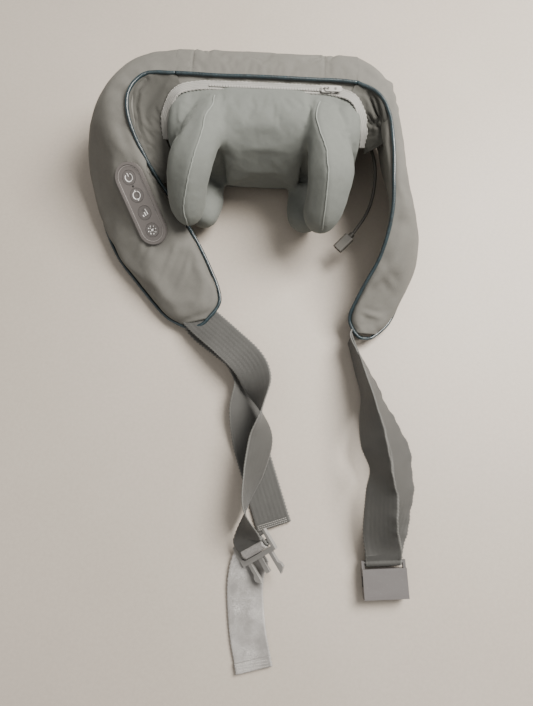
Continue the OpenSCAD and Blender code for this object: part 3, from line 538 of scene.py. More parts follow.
def copper_film(name):
    """Heater film: copper bands under clear film."""
    n = Nodes(name)
    bands = n.add("TexWave", "Fac", {"Scale": 90, "Distortion": 0.6, "Vector": n.object})
    base = n.mix(n.ramp(bands, (0.45, 0.0), (0.55, 1.0)), (0.45, 0.20, 0.06), (0.72, 0.36, 0.16))
    return n.finish(base, n.vary(n.noise(90), 0.3, 0.5), n.bump(bands, 0.2, 0.0001),
                    Coat_Weight=0.4)


LOOKS = {
    fabric: {
        "knit_grey": ((0.150, 0.147, 0.134),),
        # darker copy of knit_grey for the lining flaps: painted shade of their deep folds
        "knit_inner": ((0.085, 0.084, 0.076), 1500, 0.25, 0.9),
        "knit_light": ((0.158, 0.169, 0.157), 2100, 0.35, 0.85, 0.08),
        "seam_edge": ((0.225, 0.24, 0.225), 2600),
        "thread": ((0.19, 0.186, 0.170), 3000),
        "thread_pale": ((0.62, 0.60, 0.56), 3000)},
    webbing_material: {
        # the number after the colour sets how bright the painted highlight on the edges is
        "webbing": ((0.070, 0.070, 0.066), 1.8),
        "webbing_pale": ((0.26, 0.252, 0.243), 1.35, 0.6)},
    cord_material: {"piping": ((0.010, 0.022, 0.028),)},
    tape_material: {"zip_tape": ((0.27, 0.266, 0.250),)},
    plastic: {
        "zip_coil": ((0.28, 0.275, 0.26), 0.45, 1500),
        "zip_metal": ((0.29, 0.285, 0.27), 0.4, 1200),
        "housing": ((0.030, 0.030, 0.032), 0.5, 700),
        "gear_housing": ((0.55, 0.55, 0.52), 0.45, 800),
        "wheel_nylon": ((0.70, 0.66, 0.55), 0.38, 900),
        "hand_plastic": ((0.045, 0.045, 0.048), 0.42, 850),
        "board_parts": ((0.025, 0.025, 0.027), 0.35, 1600),
        "cell_wrap": ((0.05, 0.16, 0.34), 0.25, 300, 0.05),
        "panel": ((0.120, 0.110, 0.106), 0.42, 1500, 0.08, 1.35, 0.05),
        "key": ((0.108, 0.100, 0.097), 0.36, 1700, 0.06, 1.4, 0.04),
        "icon": ((0.86, 0.86, 0.85), 0.4, 1800, 0.05, 1.0, 0.02),
        "mark": ((0.33, 0.31, 0.30), 0.4, 1500, 0.05, 1.0, 0.02),
        "dark_hole": ((0.01, 0.01, 0.01), 0.5, 1500),
        "buckle": ((0.088, 0.083, 0.083), 0.4, 1000, 0.1, 1.5),
        # paler copy of the buckle plastic for the male buckle: painted highlight
        "buckle_pale": ((0.20, 0.196, 0.188), 0.4, 1000, 0.1, 1.4)},
    rubber: {
        "pad_silicone": ((0.62, 0.56, 0.50), 0.5),
        "wire": ((0.40, 0.02, 0.02), 0.35),
        "lead_rubber": ((0.058, 0.055, 0.048), 0.45)},
    metal: {
        "steel": ((0.62, 0.63, 0.65),),
        "brass": ((0.70, 0.52, 0.24), 0.28, (60, 1, 1)),
        "contacts": ((0.80, 0.62, 0.28), 0.25)},
    circuit: {"board": ()},
    copper_film: {"heater": ()},
}
M = {name: kind(name, *look) for kind, looks in LOOKS.items() for name, look in looks.items()}


# ------------------------------------------------------------------ sections

def back_profile(f):
    """Point of the centre's outer profile (Y, Z), f from the ridge to the underside."""
    bend = np.linspace(0.15, math.pi / 2, 10)
    pts = [(49.0, 118.6), (72.0, 118.6)]
    pts += [(72.0 + 22.6 * math.sin(a), 96.0 + 22.6 * math.cos(a)) for a in bend]
    pts += [(94.6, 60.0), (94.6, 24.0)]
    pts += [(72.0 + 22.6 * math.cos(a), 24.0 - 22.6 * math.sin(a)) for a in bend]
    pts += [(52.0, 1.4)]
    p = np.array(pts)
    s = np.concatenate([[0], np.cumsum(np.hypot(*np.diff(p, axis=0).T))])
    s /= s[-1]
    return np.column_stack([np.interp(f, s, p[:, 0]), np.interp(f, s, p[:, 1])])


STEPS, SIDES = 9, 64


def lobe_points(stations):
    """Rings of the padded lobe, one closed section each, and the stations between them.
    The first rings turn into the profile of the centre."""
    angle = 2 * math.pi * np.arange(SIDES) / SIDES
    left = stations[0][0] < 0
    if not left:
        angle = 2 * math.pi - angle
    outer = angle % (2 * math.pi) < math.pi + 1e-6
    prof = back_profile(np.clip(angle / math.pi, 0, 1) * 0.8)
    s = spline(stations, STEPS)
    mids = (s[:, :3] + s[:, 3:6]) / 2
    t = tangents(mids)
    root = np.array([-1.0 if left else 1.0, 0, 0])
    grid = []
    for i in range(len(s)):
        w = smooth(i / (0.7 * STEPS))
        ti = unit(root * (1 - w) + t[i] * w)
        half = (s[i, :3] - s[i, 3:6]) / 2
        v = unit(np.cross(ti, half))
        up, down = (s[i, 6], s[i, 7]) if left else (s[i, 7], s[i, 6])
        ring = []
        for j in range(SIDES):
            a = 2 * math.pi * j / SIDES
            sa = math.sin(a)
            b = (up if sa > 0 else down) - 0.4 * smooth(i / STEPS)
            p = mids[i] + math.cos(a) * half + b * math.copysign(abs(sa) ** 0.85, sa) * v
            if outer[j] and j:
                k = (1 - smooth(i / (1.35 * STEPS))) * smooth(min(j, SIDES - j) / 2.5)
                q = mids[i] + np.array([0, prof[j, 0] - mids[0, 1], prof[j, 1] - mids[0, 2]])
                p = p * (1 - k) + q * k
            ring.append(p)
        grid.append(ring)
    return np.array(grid), s


# stations of a lobe: inner edge, outer edge, thickness above and below
LEFT_LOBE = [[-99, 50, 118, -99, 92, 5, 34, 22], [-132, 46, 119, -134, 86, 5, 37, 24],
             [-149, 24, 116, -176, 58, 6, 35, 24], [-147, -6, 106, -193, 14, 7, 35, 22],
             [-128, -40, 80, -197, -32, 8, 32, 17], [-103, -70, 50, -192, -74, 9, 27, 11],
             [-79, -104, 39, -171, -118, 10, 23, 8], [-58, -140, 33, -140, -156, 10, 19, 6],
             [-44, -176, 26, -106, -192, 10, 13, 5], [-56, -199, 20, -84, -205, 11, 5, 3]]
RIGHT_LOBE = [[99, 48, 118, 99, 92, 5, 34, 22], [121, 35, 119.5, 127, 84, 5, 28, 20],
              [134, 12, 118, 149, 50, 6, 19, 17], [139, -24, 116, 160, 4, 7, 19, 17],
              [141, -58, 110, 171, -42, 8, 19, 15], [143, -94, 94, 179, -84, 9, 19, 13],
              [136, -132, 70, 178, -124, 10, 18, 11], [120, -164, 46, 167, -160, 10, 16, 9],
              [110, -190, 28, 155, -188, 11, 12, 6], [117, -207, 20, 140, -205, 12, 5, 3]]
# the panel's own axes, along, across and out of it, and its middle
KEYS = ("power", "direction", "speed", "heat")
KEY_PITCH = 20.5
PX = unit(middle("button_heat") - middle("button_power"))
PZ = np.array(JOINTS["power_press"]["axis"])
PY = np.cross(PZ, PX)
reach = coords(frame["nodes"]["panel_bezel"]) @ np.column_stack([PX, PY, PZ])
PM = (reach.min(0) + reach.max(0)) / 2 @ np.array([PX, PY, PZ])
RIM, OPENING, BORDER = (95, 34), (93, 32), (87, 26)      # length and width


def panel_local(co):
    """Points in the panel's own axes."""
    d = co - PM
    return np.column_stack([d @ PX, d @ PY, d @ PZ])


def stadium_distance(p, length, width):
    """Distance outside a stadium in panel coordinates, negative inside."""
    x = np.maximum(np.abs(p[:, 0]) - (length - width) / 2, 0)
    return np.hypot(x, p[:, 1]) - width / 2


def stadium_line(length, width, n):
    """Outline with two straight sides and two round ends."""
    straight = (length - width) / 2
    out = []
    for side in (1, -1):
        for k in range(n + 1):
            a = math.radians(-90 + 180 * k / n) + (0 if side > 0 else math.pi)
            out.append((side * straight + width / 2 * math.cos(a), width / 2 * math.sin(a)))
    return np.array(out)


def on_panel(p):
    """Points given in the panel's own axes."""
    p = np.asarray(p, float)
    return PM + p[..., 0:1] * PX + p[..., 1:2] * PY + p[..., 2:3] * PZ


def prism(length, width, z0, z1):
    """Stadium prism on the panel."""
    outline = stadium_line(length, width, 24)
    m = len(outline)
    verts = [PM + x * PX + y * PY + z * PZ for z in (z0, z1) for x, y in outline]
    faces = [tuple(range(m))[::-1], tuple(range(m, 2 * m))]
    faces += [(j, (j + 1) % m, m + (j + 1) % m, m + j) for j in range(m)]
    return make("cut", verts, faces)


def lobe(name, stations, folds):
    """Stuffed lobe, blown up as cloth and creased, and its stations."""
    grid, s = lobe_points(stations)
    close = grid[0] + (grid[1] - grid[0]) * 0.1
    grid = np.concatenate([grid[:1], close[None], grid[1:]])
    obj = skin_rings(name, grid, M["knit_grey"])
    held = np.zeros(grid.shape[:2], bool)
    held[:, [0, SIDES // 2]] = True
    held[:3] = True
    held[-2:] = True
    held = held.ravel()
    left = stations[0][0] < 0
    if left:
        held |= stadium_distance(panel_local(grid.reshape(-1, 3)), *RIM) < 5
    simulate(obj, held, pressure=4.0, grow=0.016, cap=4.0, frames=22, stiffness=16, bend=3.0)
    if left:
        # the fabric lies flat against the underside of the panel's rim
        co = coords(obj)
        p = panel_local(co)
        d = stadium_distance(p, *RIM)
        near = (np.abs(p[:, 2]) < 26) & (d < 16)
        level = np.where(d < 1, -1.6, -1.6 + 0.12 * (d - 1))
        w = smooth(1 - np.clip(d - 1, 0, 15) / 15) * near
        set_coords(obj, co + ((level - p[:, 2]) * w)[:, None] * PZ)
    relax(obj, 4, 0.4, held * 1.0)
    subdivide(obj)
    for f in folds:
        fold(obj, *f)
    ripple(obj, (0.55, 0.022, 3.1), (0.22, 0.075, 7.7),
           fade=lambda co: smooth((np.abs(co[:, 0]) - 99) / 14))
    obj.data.set_sharp_from_angle(angle=math.radians(66))
    return obj, s


def seam_run(s, start, other, off=2.3):
    """Line a little outside one edge of the lobe's stations."""
    a, b = s[:, start:start + 3], s[:, other:other + 3]
    d = a - b
    return a + d / np.linalg.norm(d, axis=1, keepdims=True) * off


def ribbon(name, stations, width, thick, material, steps=8, step=2.0, rows=10, wave=None,
           gather=(0, 0)):
    """Closed strap: a grid across and along, rounded at both edges, narrowed at
    the ends where gather gives a length."""
    path, s = resample(spline(stations, steps), step)
    t = tangents(path)
    ring = [(-1 + 2 * k / rows, 1) for k in range(rows + 1)]
    ring += [(1 - 2 * k / rows, -1) for k in range(rows + 1)]
    full = np.full(len(path), width / 2)
    for length, reach in zip(gather, (s, s[-1] - s)):
        if length:
            full *= 0.55 + 0.45 * smooth(reach / length)
    rings = []
    for i in range(len(path)):
        w = unit(path[i, 3:6] - np.dot(path[i, 3:6], t[i]) * t[i])
        v = np.cross(t[i], w)
        points = []
        for x, side in ring:
            h = thick / 2 * (1 + 0.25 * max(0, abs(x) - 0.8) * 5)
            tooth = 0.0
            if abs(x) > 0.999:
                h *= 0.55
                tooth = 0.65 * math.cos(2.0944 * i)
            p = path[i, :3] + w * x * (full[i] + tooth) + v * side * h
            if wave is not None:
                p = p + v * wave(s[i], x)
            points.append(p)
        rings.append(points)
    across = [x * width / 2 for x, _ in ring]
    return skin_rings(name, rings, material, {"along": np.repeat(s, len(ring)),
                                              "across": np.tile(across, len(path))})


def stitches(name, path, pitch, length, radius, up, material):
    """Row of short thread stitches along a path, each its own closed capsule."""
    path = np.column_stack([path, np.broadcast_to(np.asarray(up, float), (len(path), 3))])
    p, s = resample(path, 0.5)
    verts, faces = [], []
    at = pitch / 2
    while at < s[-1] - pitch / 2:
        here = np.array([np.interp(at, s, p[:, k]) for k in range(6)])
        c, u = here[:3], here[3:]
        t = unit(np.array([np.interp(at + 0.4, s, p[:, k]) for k in range(3)]) - c)
        u = unit(u - np.dot(u, t) * t)
        w = np.cross(t, u)
        base = len(verts)
        for a, r in ((-0.5, 0.35), (-0.32, 0.9), (0, 1.0), (0.32, 0.9), (0.5, 0.35)):
            sink = u * radius * (0.9 if abs(a) > 0.4 else 0)
            for k in range(6):
                g = math.pi / 3 * k
                verts.append(c + t * a * length
                             + radius * r * (math.cos(g) * w + math.sin(g) * u) - sink)
        faces += [tuple(base + i for i in f) for f in tube_faces(5, 6)]
        at += pitch
    return make(name, verts, faces, None, material)


# -------------------------------------------------------------------- lobes

# fabric between the module and a lobe; the hinge stands behind the lobe's root
ROOT = {side: ("module", body, (side * 0.100, 0.060, 0.06), (side * 0.130, -0.010, 0.06))
        for side, body in ((-1, "left_lobe"), (1, "right_lobe"))}

left_folds = [
    ([[-128, 50, 118], [-150, 50, 104], [-172, 34, 82], [-184, 10, 62]], 7.0, 2.6, 1.2),
    ([[-150, -4, 108], [-142, -26, 92], [-128, -48, 74], [-112, -66, 58]], 5.0, 2.2, 1.0),
    ([[-100, -78, 54], [-112, -84, 58], [-124, -84, 64]], 3.4, 1.6, 0.7),
    ([[-92, -90, 48], [-106, -100, 52], [-116, -112, 50]], 3.4, 1.6, 0.7),
    ([[-150, -30, 90], [-140, -70, 64], [-130, -105, 46]], 4.0, 1.6, 0.5),
    ([[-118, -96, 60], [-136, -122, 42], [-150, -136, 30]], 3.2, 1.5, 0.5),
    ([[-104, -86, 58], [-120, -116, 48], [-132, -140, 32]], 3.0, 1.3, 0.4),
    ([[-88, -98, 46], [-98, -130, 44], [-112, -160, 30]], 3.0, 1.5, 0.5),
    ([[-76, -112, 42], [-82, -146, 38], [-96, -176, 24]], 3.0, 1.2, 0.4),
    ([[-182, 30, 60], [-190, 0, 56], [-192, -30, 50]], 5.0, 1.4, 0.4),
    ([[-152, 10, 112], [-164, -4, 98], [-180, -10, 80]], 4.5, 1.6, 0.5),
    ([[-152, 34, 112], [-168, 26, 98], [-184, 20, 76]], 4.5, 1.3, 0.4),
    ([[-138, 52, 112], [-150, 62, 96], [-160, 66, 74]], 4.5, 1.5, 0.5),
    ([[-62, -180, 26], [-78, -184, 24], [-94, -188, 18]], 2.6, 1.2, 0.4),
]
right_folds = [
    ([[128, 46, 117], [140, 60, 104], [140, 70, 84]], 4.5, 2.4, 0.8),
    ([[140, 22, 116], [150, 26, 104], [158, 20, 86]], 4.5, 1.8, 0.6),
    ([[142, -30, 112], [156, -38, 96], [166, -40, 70]], 5.0, 1.2, 0.4),
    ([[143, -80, 98], [156, -92, 84], [168, -96, 60]], 5.0, 1.3, 0.4),
    ([[134, -140, 62], [146, -150, 52], [158, -158, 38]], 4.0, 1.4, 0.5),
    ([[116, -182, 34], [130, -186, 30], [146, -188, 24]], 3.0, 1.3, 0.4),
    ([[110, 36, 110], [116, 24, 96], [120, 14, 78]], 3.5, 3.0, 1.0),
    ([[118, 26, 112], [126, 6, 98], [128, -14, 84]], 3.5, 3.2, 1.0),
]

for side, name, stations, folds in ((-1, "left", LEFT_LOBE, left_folds),
                                    (1, "right", RIGHT_LOBE, right_folds)):
    cover, seam = lobe(f"lobe_cover_{name}", stations, folds)
    if side < 0:
        opening = prism(*OPENING, -18, 12)
        modify(cover, "BOOLEAN", operation="DIFFERENCE", solver="EXACT", object=opening)
        bpy.data.objects.remove(opening)
    attach(cover, "knit_grey", ROOT[side], f"cover_{name}", f"filling_{name}")
    inner, outer = seam_run(seam, 0, 3), seam_run(seam, 3, 0)[3 * STEPS:][::-1]
    a, b = inner[-1], outer[0]
    out = unit(unit(a - inner[-3]) + unit(b - outer[2]))
    cap = [a + (b - a) * 0.22 + out * 4.2 + [0, 0, 1.5], (a + b) / 2 + out * 5.6 + [0, 0, 1.5],
           a + (b - a) * 0.78 + out * 4.2 + [0, 0, 0.5]]
    path, _ = resample(spline(np.concatenate([inner[:-2], cap, outer[2:]]), 4), 2.0)
    wobble = np.array([[0.25 * fbm(p, 0.06, 2.0), 0.25 * fbm(p, 0.06, 5.0),
                        0.35 * fbm(p, 0.06, 9.0)] for p in path])
    cord = tube(f"piping_edge_{name}", path + wobble, 2.1, M["piping"], 12, (0.2, 0.3, 1))
    attach(cord, "piping", ROOT[side], f"piping_{name}")

# ------------------------------------------------------- centre of the shawl

def sheet(name, grid, thick, material):
    """Closed sheet: the grid is its outside, and the inside lies thick behind."""
    g = np.asarray(grid, float)
    n, m = g.shape[:2]
    nor = np.cross(np.gradient(g, axis=0), np.gradient(g, axis=1))
    nor /= np.maximum(np.linalg.norm(nor, axis=2, keepdims=True), 1e-9)
    verts = np.concatenate([g.reshape(-1, 3), (g - nor * thick).reshape(-1, 3)])
    o = n * m
    faces = []
    for i in range(n - 1):
        for j in range(m - 1):
            a, b, c, d = i * m + j, (i + 1) * m + j, (i + 1) * m + j + 1, i * m + j + 1
            faces.append((a, b, c, d))
            faces.append((o + d, o + c, o + b, o + a))
    for i in range(n - 1):
        a, b = i * m, (i + 1) * m
        faces.append((b, a, o + a, o + b))
        a, b = a + m - 1, b + m - 1
        faces.append((a, b, o + b, o + a))
    for j in range(m - 1):
        faces.append((j, j + 1, o + j + 1, o + j))
        a = (n - 1) * m + j
        faces.append((a + 1, a, o + a, o + a + 1))
    obj = make(name, verts, faces, None, material)
    obj.data.set_sharp_from_angle(angle=math.radians(60))
    return obj


def hold(grid, *blocks, both=False):
    """Vertices of a sheet's grid that the simulation holds; both holds the inside there too,
    otherwise the whole inside is held."""
    held = np.zeros(np.shape(grid)[:2], bool)
    for block in blocks:
        held[block] = True
    held = held.ravel()
    return np.concatenate([held, held if both else np.ones(len(held), bool)])


SEAMS = (-82, 63)
f = np.linspace(0, 1, 74)
flat = back_profile(f)
xs = np.concatenate([[-100.6], np.linspace(-100.3, 100.3, 101), [100.6]])
grid = []
for x in xs:
    dip = sum(1.3 * math.exp(-((x - q) / 1.3) ** 2) for q in SEAMS)
    nor = flat - np.array([60, 60])
    nor /= np.linalg.norm(nor, axis=1, keepdims=True)
    prof = flat - nor * dip * np.sin(np.pi * f)[:, None] ** 0.3
    grid.append(np.column_stack([np.full(len(f), x), prof]))
panel = sheet("back_panel", grid, 1.8, M["knit_grey"])
near_seam = [k for k, x in enumerate(xs) if min(abs(x - q) for q in SEAMS) < 1.3]
ends, edges = [0, 1, -2, -1], np.s_[:, [0, 1, -3, -2, -1]]
simulate(panel, hold(grid, ends, edges, near_seam), pressure=2.0, grow=0.006, cap=2.0, frames=16,
         stiffness=16, bend=3.0)
subdivide(panel)
for path, w, d, lip in (
        ([[66, 74, 119], [70, 86, 113], [74, 95, 96]], 5.0, 1.4, 0.6),
        ([[-66, 72, 119], [-69, 86, 113], [-72, 95, 96]], 5.0, 1.4, 0.6),
        ([[-40, 70, 119], [-20, 78, 118], [10, 72, 119]], 5.0, 0.8, 0.3),
        ([[30, 66, 119], [52, 76, 118], [70, 88, 110]], 5.0, 0.9, 0.3),
        ([[-60, 95, 80], [-20, 96, 72], [30, 95, 76]], 7.0, 0.9, 0.3)):
    fold(panel, path, w, d, lip)
ripple(panel, (0.5, 0.02, 1.1), (0.2, 0.07, 4.7),
       fade=lambda co: smooth((100 - np.abs(co[:, 0])) / 14))
attach(panel, "knit_grey", "module", "cover_centre", "rear_foam")
for x in SEAMS:
    line = np.column_stack([np.full(len(f), x), flat])[2:-2]
    up = line * [0, 1, 1] - [0, 60, 60]
    for k, dx in enumerate((-1.9, 1.9)):
        seam = on_surface(panel, line + np.array([dx, 0, 0]), 0.12)
        row = stitches(f"seam_stitch_{'l' if x < 0 else 'r'}{k}", seam, 3.2, 2.2, 0.22, up,
                       M["thread"])
        attach(row, "knit_grey", "module")

ridge = [(-98.8, 48.6, 120.9), (-80, 49.0, 120.2), (-50, 48.8, 119.6), (-14, 49.2, 119.9),
         (20, 48.9, 120.1), (52, 48.7, 119.9), (80, 48.3, 120.4), (98.8, 46.4, 120.9)]
cord = tube("piping_ridge", resample(spline(ridge, 8), 2.0)[0], 2.1, M["piping"])
attach(cord, "piping", "module", "piping_centre")

# --------------------------------------------------- stretch cover of the hands

def finger(name, stations, side):
    """Closed body through oval sections: centre, half width, half height."""
    t = tangents(stations)
    rings = []
    for c, ti in zip(stations, t):
        u = unit(side - np.dot(side, ti) * ti)
        v = np.cross(ti, u)
        rings.append([c[:3] + c[3] * math.cos(a) * u + c[4] * math.sin(a) * v
                      for a in [2 * math.pi * j / 24 for j in range(24)]])
    return skin_rings(name, rings)


def hand_frame(side):
    """Place of a point on a hand (forward, up, across), and its across direction."""
    yaw = math.radians(-10 if side < 0 else 0)
    r = Matrix.Rotation(yaw, 3, "Z") @ Matrix.Rotation(math.radians(side * 6), 3, "Y")
    r = np.array(r)
    at = pivot("left_knead" if side < 0 else "right_knead")
    return lambda u, v, x=0.0: at + r @ np.array([x, -u, v]), r @ np.array([1.0, 0, 0])


# stations of a sleeve: forward, up, across, half width, half height
UPPER = {-1: [[-17, 38, 9, 14, 15], [-4, 43, 9, 17, 17], [12, 46, 8, 20.5, 17.5],
              [30, 47, 6, 24, 18], [50, 47, 4, 25.5, 18.4], [68, 42, 2.5, 25.5, 19],
              [84, 30, 1.5, 23, 19.4], [98, 14, 2, 20.5, 19.4], [106, 3, 3.5, 15, 14.6],
              [110, -3.5, 4, 7, 7.4]],
         1: [[-17, 38, -1, 15, 15], [-4, 43, -1, 18, 17], [12, 46, -1, 20, 17.5],
             [30, 47, 1, 22.5, 18], [50, 47, 5.5, 25.5, 18.4], [68, 42, 7, 26, 19],
             [84, 30, 6.5, 23.5, 19.4], [98, 14, 4.5, 22, 20], [106.5, 3, 3.5, 16.5, 15.5],
             [111, -4, 3, 8, 8.4]]}
LOWER = {-1: [[10, -30, 0, 15, 14], [28, -34, 1, 15, 14], [42, -36, 2, 17, 16],
              [54, -35.5, 3, 18, 17.5], [68, -34, 4, 19.5, 18.6], [82, -32.3, 4, 19.5, 18.6],
              [93, -31, 4, 16, 14.6], [98.4, -30.4, 4, 9, 8.4]],
         1: [[10, -30, -2, 16, 14], [28, -34, -5, 17, 14], [42, -36, -7, 19, 16],
             [54, -35.5, -8, 20.5, 17.5], [68, -34, -8, 21, 18.6], [82, -32.3, -7, 20.5, 18.6],
             [93, -31, -6, 16, 14.6], [98.4, -30.4, -6, 9, 8.4]]}


WEB = [[36, 116], [16, 115.2], [0, 112.6], [-12, 106.5], [-20.5, 96], [-26.5, 82], [-31, 66],
       [-34, 50], [-32, 43], [-26, 34], [-17, 24], [-8, 20]]
FRONT = [[38, 117.6], [16, 117], [2, 116], [-9, 113.6], [-19, 105.5], [-23.4, 93], [-23.6, 60],
         [-22, 32], [-15, 16], [0, 11.5], [38, 11.5]]


def web_sheet():
    """The hammock between the hands, pulled in at its middle."""
    prof = resample(spline([[0, y, z] for y, z in WEB], 6), 3.0)[0]
    k = np.linspace(0, 1, len(prof))
    grid = []
    for x in np.linspace(-44, 44, 31):
        row = prof.copy()
        row[:, 0] = x
        row[:, 1] += 5.0 * np.sin(np.pi * np.clip((k - 0.12) / 0.6, 0, 1)) * (1 - (x / 44) ** 2)
        grid.append(row)
    return sheet("web", grid, 5.0, None)


def front_block():
    """Front of the module under its cover, its ends rounded in."""
    prof = np.array(FRONT, float)
    centre = np.array([10.0, 64.0])
    ends = {107: 0.5, 106.5: 0.74, 104.5: 0.88, 101: 0.955, 93: 1.0, 60: 1.0, 20: 1.0}
    rings = []
    for x in [-x for x in ends] + list(ends)[::-1]:
        rings.append([(x, y, z) for y, z in centre + (prof - centre) * ends[abs(x)]])
    return skin_rings("block", rings)


parts = [front_block(), web_sheet()]
for side in (-1, 1):
    at, across_dir = hand_frame(side)
    for k, run in enumerate((UPPER[side], LOWER[side])):
        st = spline([[*at(u, v, x), a, b] for u, v, x, a, b in run], 4)
        parts.append(finger(f"finger{side}{k}", st, across_dir))
bpy.ops.object.select_all(action="DESELECT")
for o in parts:
    o.select_set(True)
bpy.context.view_layer.objects.active = parts[0]
bpy.ops.object.join()
skin = bpy.context.view_layer.objects.active
modify(skin, "REMESH", mode="VOXEL", voxel_size=3.0 * MM, use_smooth_shade=True)
relax(skin, 9)
co = coords(skin)
back = (co[:, 1] > 24) | ((np.abs(co[:, 0]) > 92) & (co[:, 1] > -14)) | (co[:, 2] < 14)
simulate(skin, back, pressure=1.6, grow=0.02, cap=4.0, frames=14, stiffness=10, bend=0.25)
relax(skin, 1, 0.3)
subdivide(skin)
for side in (-1, 1):
    for path, w, d, lip in (
            ([[39, -32, 50], [28, -27, 66], [12, -21, 84]], 3.6, 2.6, 1.3),
            ([[40, -30, 56], [34, -24, 78], [26, -16, 96]], 3.6, 2.2, 1.1),
            ([[38, -34, 48], [22, -31, 56], [4, -28, 62]], 3.2, 1.5, 0.8),
            ([[40, -20, 92], [34, -8, 106], [30, 8, 114]], 4.0, 1.8, 0.8),
            ([[30, 14, 116], [26, 4, 113], [16, -10, 106]], 3.4, 1.2, 0.6)):
        fold(skin, [[side * x, y, z] for x, y, z in path], w, d, lip)
# the sewn seam that runs down each upper finger
SEWN = {-1: ((-10, 56, 13), (10, 62, 14), (24, 66, 12), (40, 68, 14), (56, 66, 13), (72, 60, 10),
             (88, 46, 6), (102, 26, 2), (110, 6, 2)),
        1: ((-8, 56, -8), (14, 62, -12), (34, 66, -9), (52, 66, -3), (68, 62, 1), (84, 50, 4),
            (98, 32, 5), (108, 10, 6))}
sewn = {}
for side, points in SEWN.items():
    run = spline([hand_frame(side)[0](*p) for p in points], 6)
    sewn[side] = on_surface(skin, resample(run, 2.0)[0])
for path in sewn.values():
    fold(skin, path, 10.0, -4.0)
    fold(skin, path, 2.0, 1.1, 0.5)
ripple(skin, (0.45, 0.03, 6.1), (0.2, 0.09, 2.7))


def keep_side(name, planes):
    """Copy of the skin cut down to one side of each plane, given thickness."""
    mesh = skin.data.copy()
    bm = bmesh.new()
    bm.from_mesh(mesh)
    for point, normal in planes:
        geom = bm.verts[:] + bm.edges[:] + bm.faces[:]
        bmesh.ops.bisect_plane(bm, geom=geom, plane_co=point, plane_no=normal,
                               clear_outer=True, dist=1e-7)
    bm.to_mesh(mesh)
    bm.free()
    obj = bpy.data.objects.new(name, mesh)
    bpy.context.scene.collection.objects.link(obj)
    modify(obj, "SOLIDIFY", thickness=0.0012, offset=-1)
    obj.data.materials.clear()
    obj.data.materials.append(M["knit_light"])
    obj.data.polygons.foreach_set("use_smooth", [True] * len(obj.data.polygons))
    obj.data.set_sharp_from_angle(angle=math.radians(62))
    return obj


# each finger cover is cut off at a plane through the first point, square to the line to the second
FINGER = {side: [(side * x, y, 0.06) for x, y in ((0.040, -0.028), (0.046, -0.0574))]
          for side in (-1, 1)}
cuts = {side: (Vector(a), (Vector(b) - Vector(a)).normalized()) for side, (a, b) in FINGER.items()}
behind = (Vector((0, 0.0360, 0)), Vector((0, 1, 0)))
attach(keep_side("module_stretch_cover", [cuts[-1], cuts[1], behind]), "knit_light", "module",
       "module_cover")
for side, name in ((-1, "left"), (1, "right")):
    bodies = ("module", f"{name}_hand", *FINGER[side])
    point, normal = cuts[side]
    piece = keep_side(f"finger_cover_{name}",
                      [(point, -normal), (Vector((0, 0, 0)), Vector((-side, 0, 0)))])
    attach(piece, "knit_light", bodies, f"sleeves_{name}")
    path = sewn[side]
    cord = tube(f"finger_seam_{name}", on_surface(skin, path[1:-1], 0.15), 0.85, M["seam_edge"], 8)
    attach(cord, "knit_light", bodies)
    row = stitches(f"finger_stitch_{name}", on_surface(skin, path, -0.1), 2.6, 1.9, 0.2,
                   (0.0, -0.6, 0.8), M["thread"])
    attach(row, "knit_light", bodies)
bpy.data.objects.remove(skin)

# ----------------------------------------------------------- zip and linings

ZIP = [[-110.4, -10, 86, 0.97, -0.2, 0.1], [-109.6, 5, 101.5, 0.9, -0.42, 0.15],
       [-98, 25.6, 117.6, 0.55, -0.8, 0.1], [-76, 35.6, 118, 0.1, -1, 0], [-38, 37.4, 118, 0, -1, 0],
       [38, 37.4, 118, 0, -1, 0], [76, 35.6, 118, -0.1, -1, 0], [98, 25.6, 117.6, -0.55, -0.8, 0.1],
       [109.6, 5, 101.5, -0.9, -0.42, 0.15], [110.4, -10, 86, -0.97, -0.2, 0.1]]
tape = ribbon("zip_band", ZIP, 11.5, 1.1, M["zip_tape"], 8, 1.5, 12,
              lambda s, x: 0.25 * math.sin(s * 0.31) * x + 0.2 * math.sin(s * 0.13 + 1), (30, 30))
attach(tape, "zip_tape", "module", "zip_tape")
zs = resample(spline(ZIP, 8), 1.5)[0][14:-14]
w = zs[:, 3:6] / np.linalg.norm(zs[:, 3:6], axis=1, keepdims=True)
up = np.cross(tangents(zs), w)
up *= np.sign(up[:, 2:3] + 1e-9)
for k, off in enumerate((-4.9, 4.9)):
    row = stitches(f"zip_stitch{k}", zs[:, :3] + w * off + up * 0.75, 2.4, 1.7, 0.2, up,
                   M["thread_pale"])
    attach(row, "zip_tape", "module")

# strip of lining behind the zip, between the two root seams
f = np.linspace(0, 1, 12)
bow = np.sin(np.pi * f)
grid = []
for x in np.linspace(-98, 98, 90):
    y0 = np.interp(abs(x), [0, 40, 76, 98], [42.0, 42.0, 40.0, 30.5])
    z0 = np.interp(abs(x), [0, 76, 98], [117.6, 117.4, 115.6])
    z = z0 + (118.7 - z0) * f - 1.6 * bow + 0.35 * math.sin(x * 0.21) * bow
    grid.append(np.column_stack([np.full(len(f), x), y0 + (49.6 - y0) * f, z]))
strip = sheet("lining_strip", grid, 1.6, M["knit_grey"])
subdivide(strip)
for x0, x1 in ((-70, -62), (-22, -30), (18, 26), (60, 54)):
    fold(strip, [[x0, 40, 118], [x1, 49, 118]], 2.6, 0.7, 0.3)
attach(strip, "knit_grey", "module", "inner_lining")


def evenly(points, count):
    """A curve through the points, sampled count times."""
    p = resample(spline(points, 8), 2.0)[0]
    k = np.linspace(0, 1, len(p))
    return np.column_stack([np.interp(np.linspace(0, 1, count), k, p[:, q]) for q in range(3)])


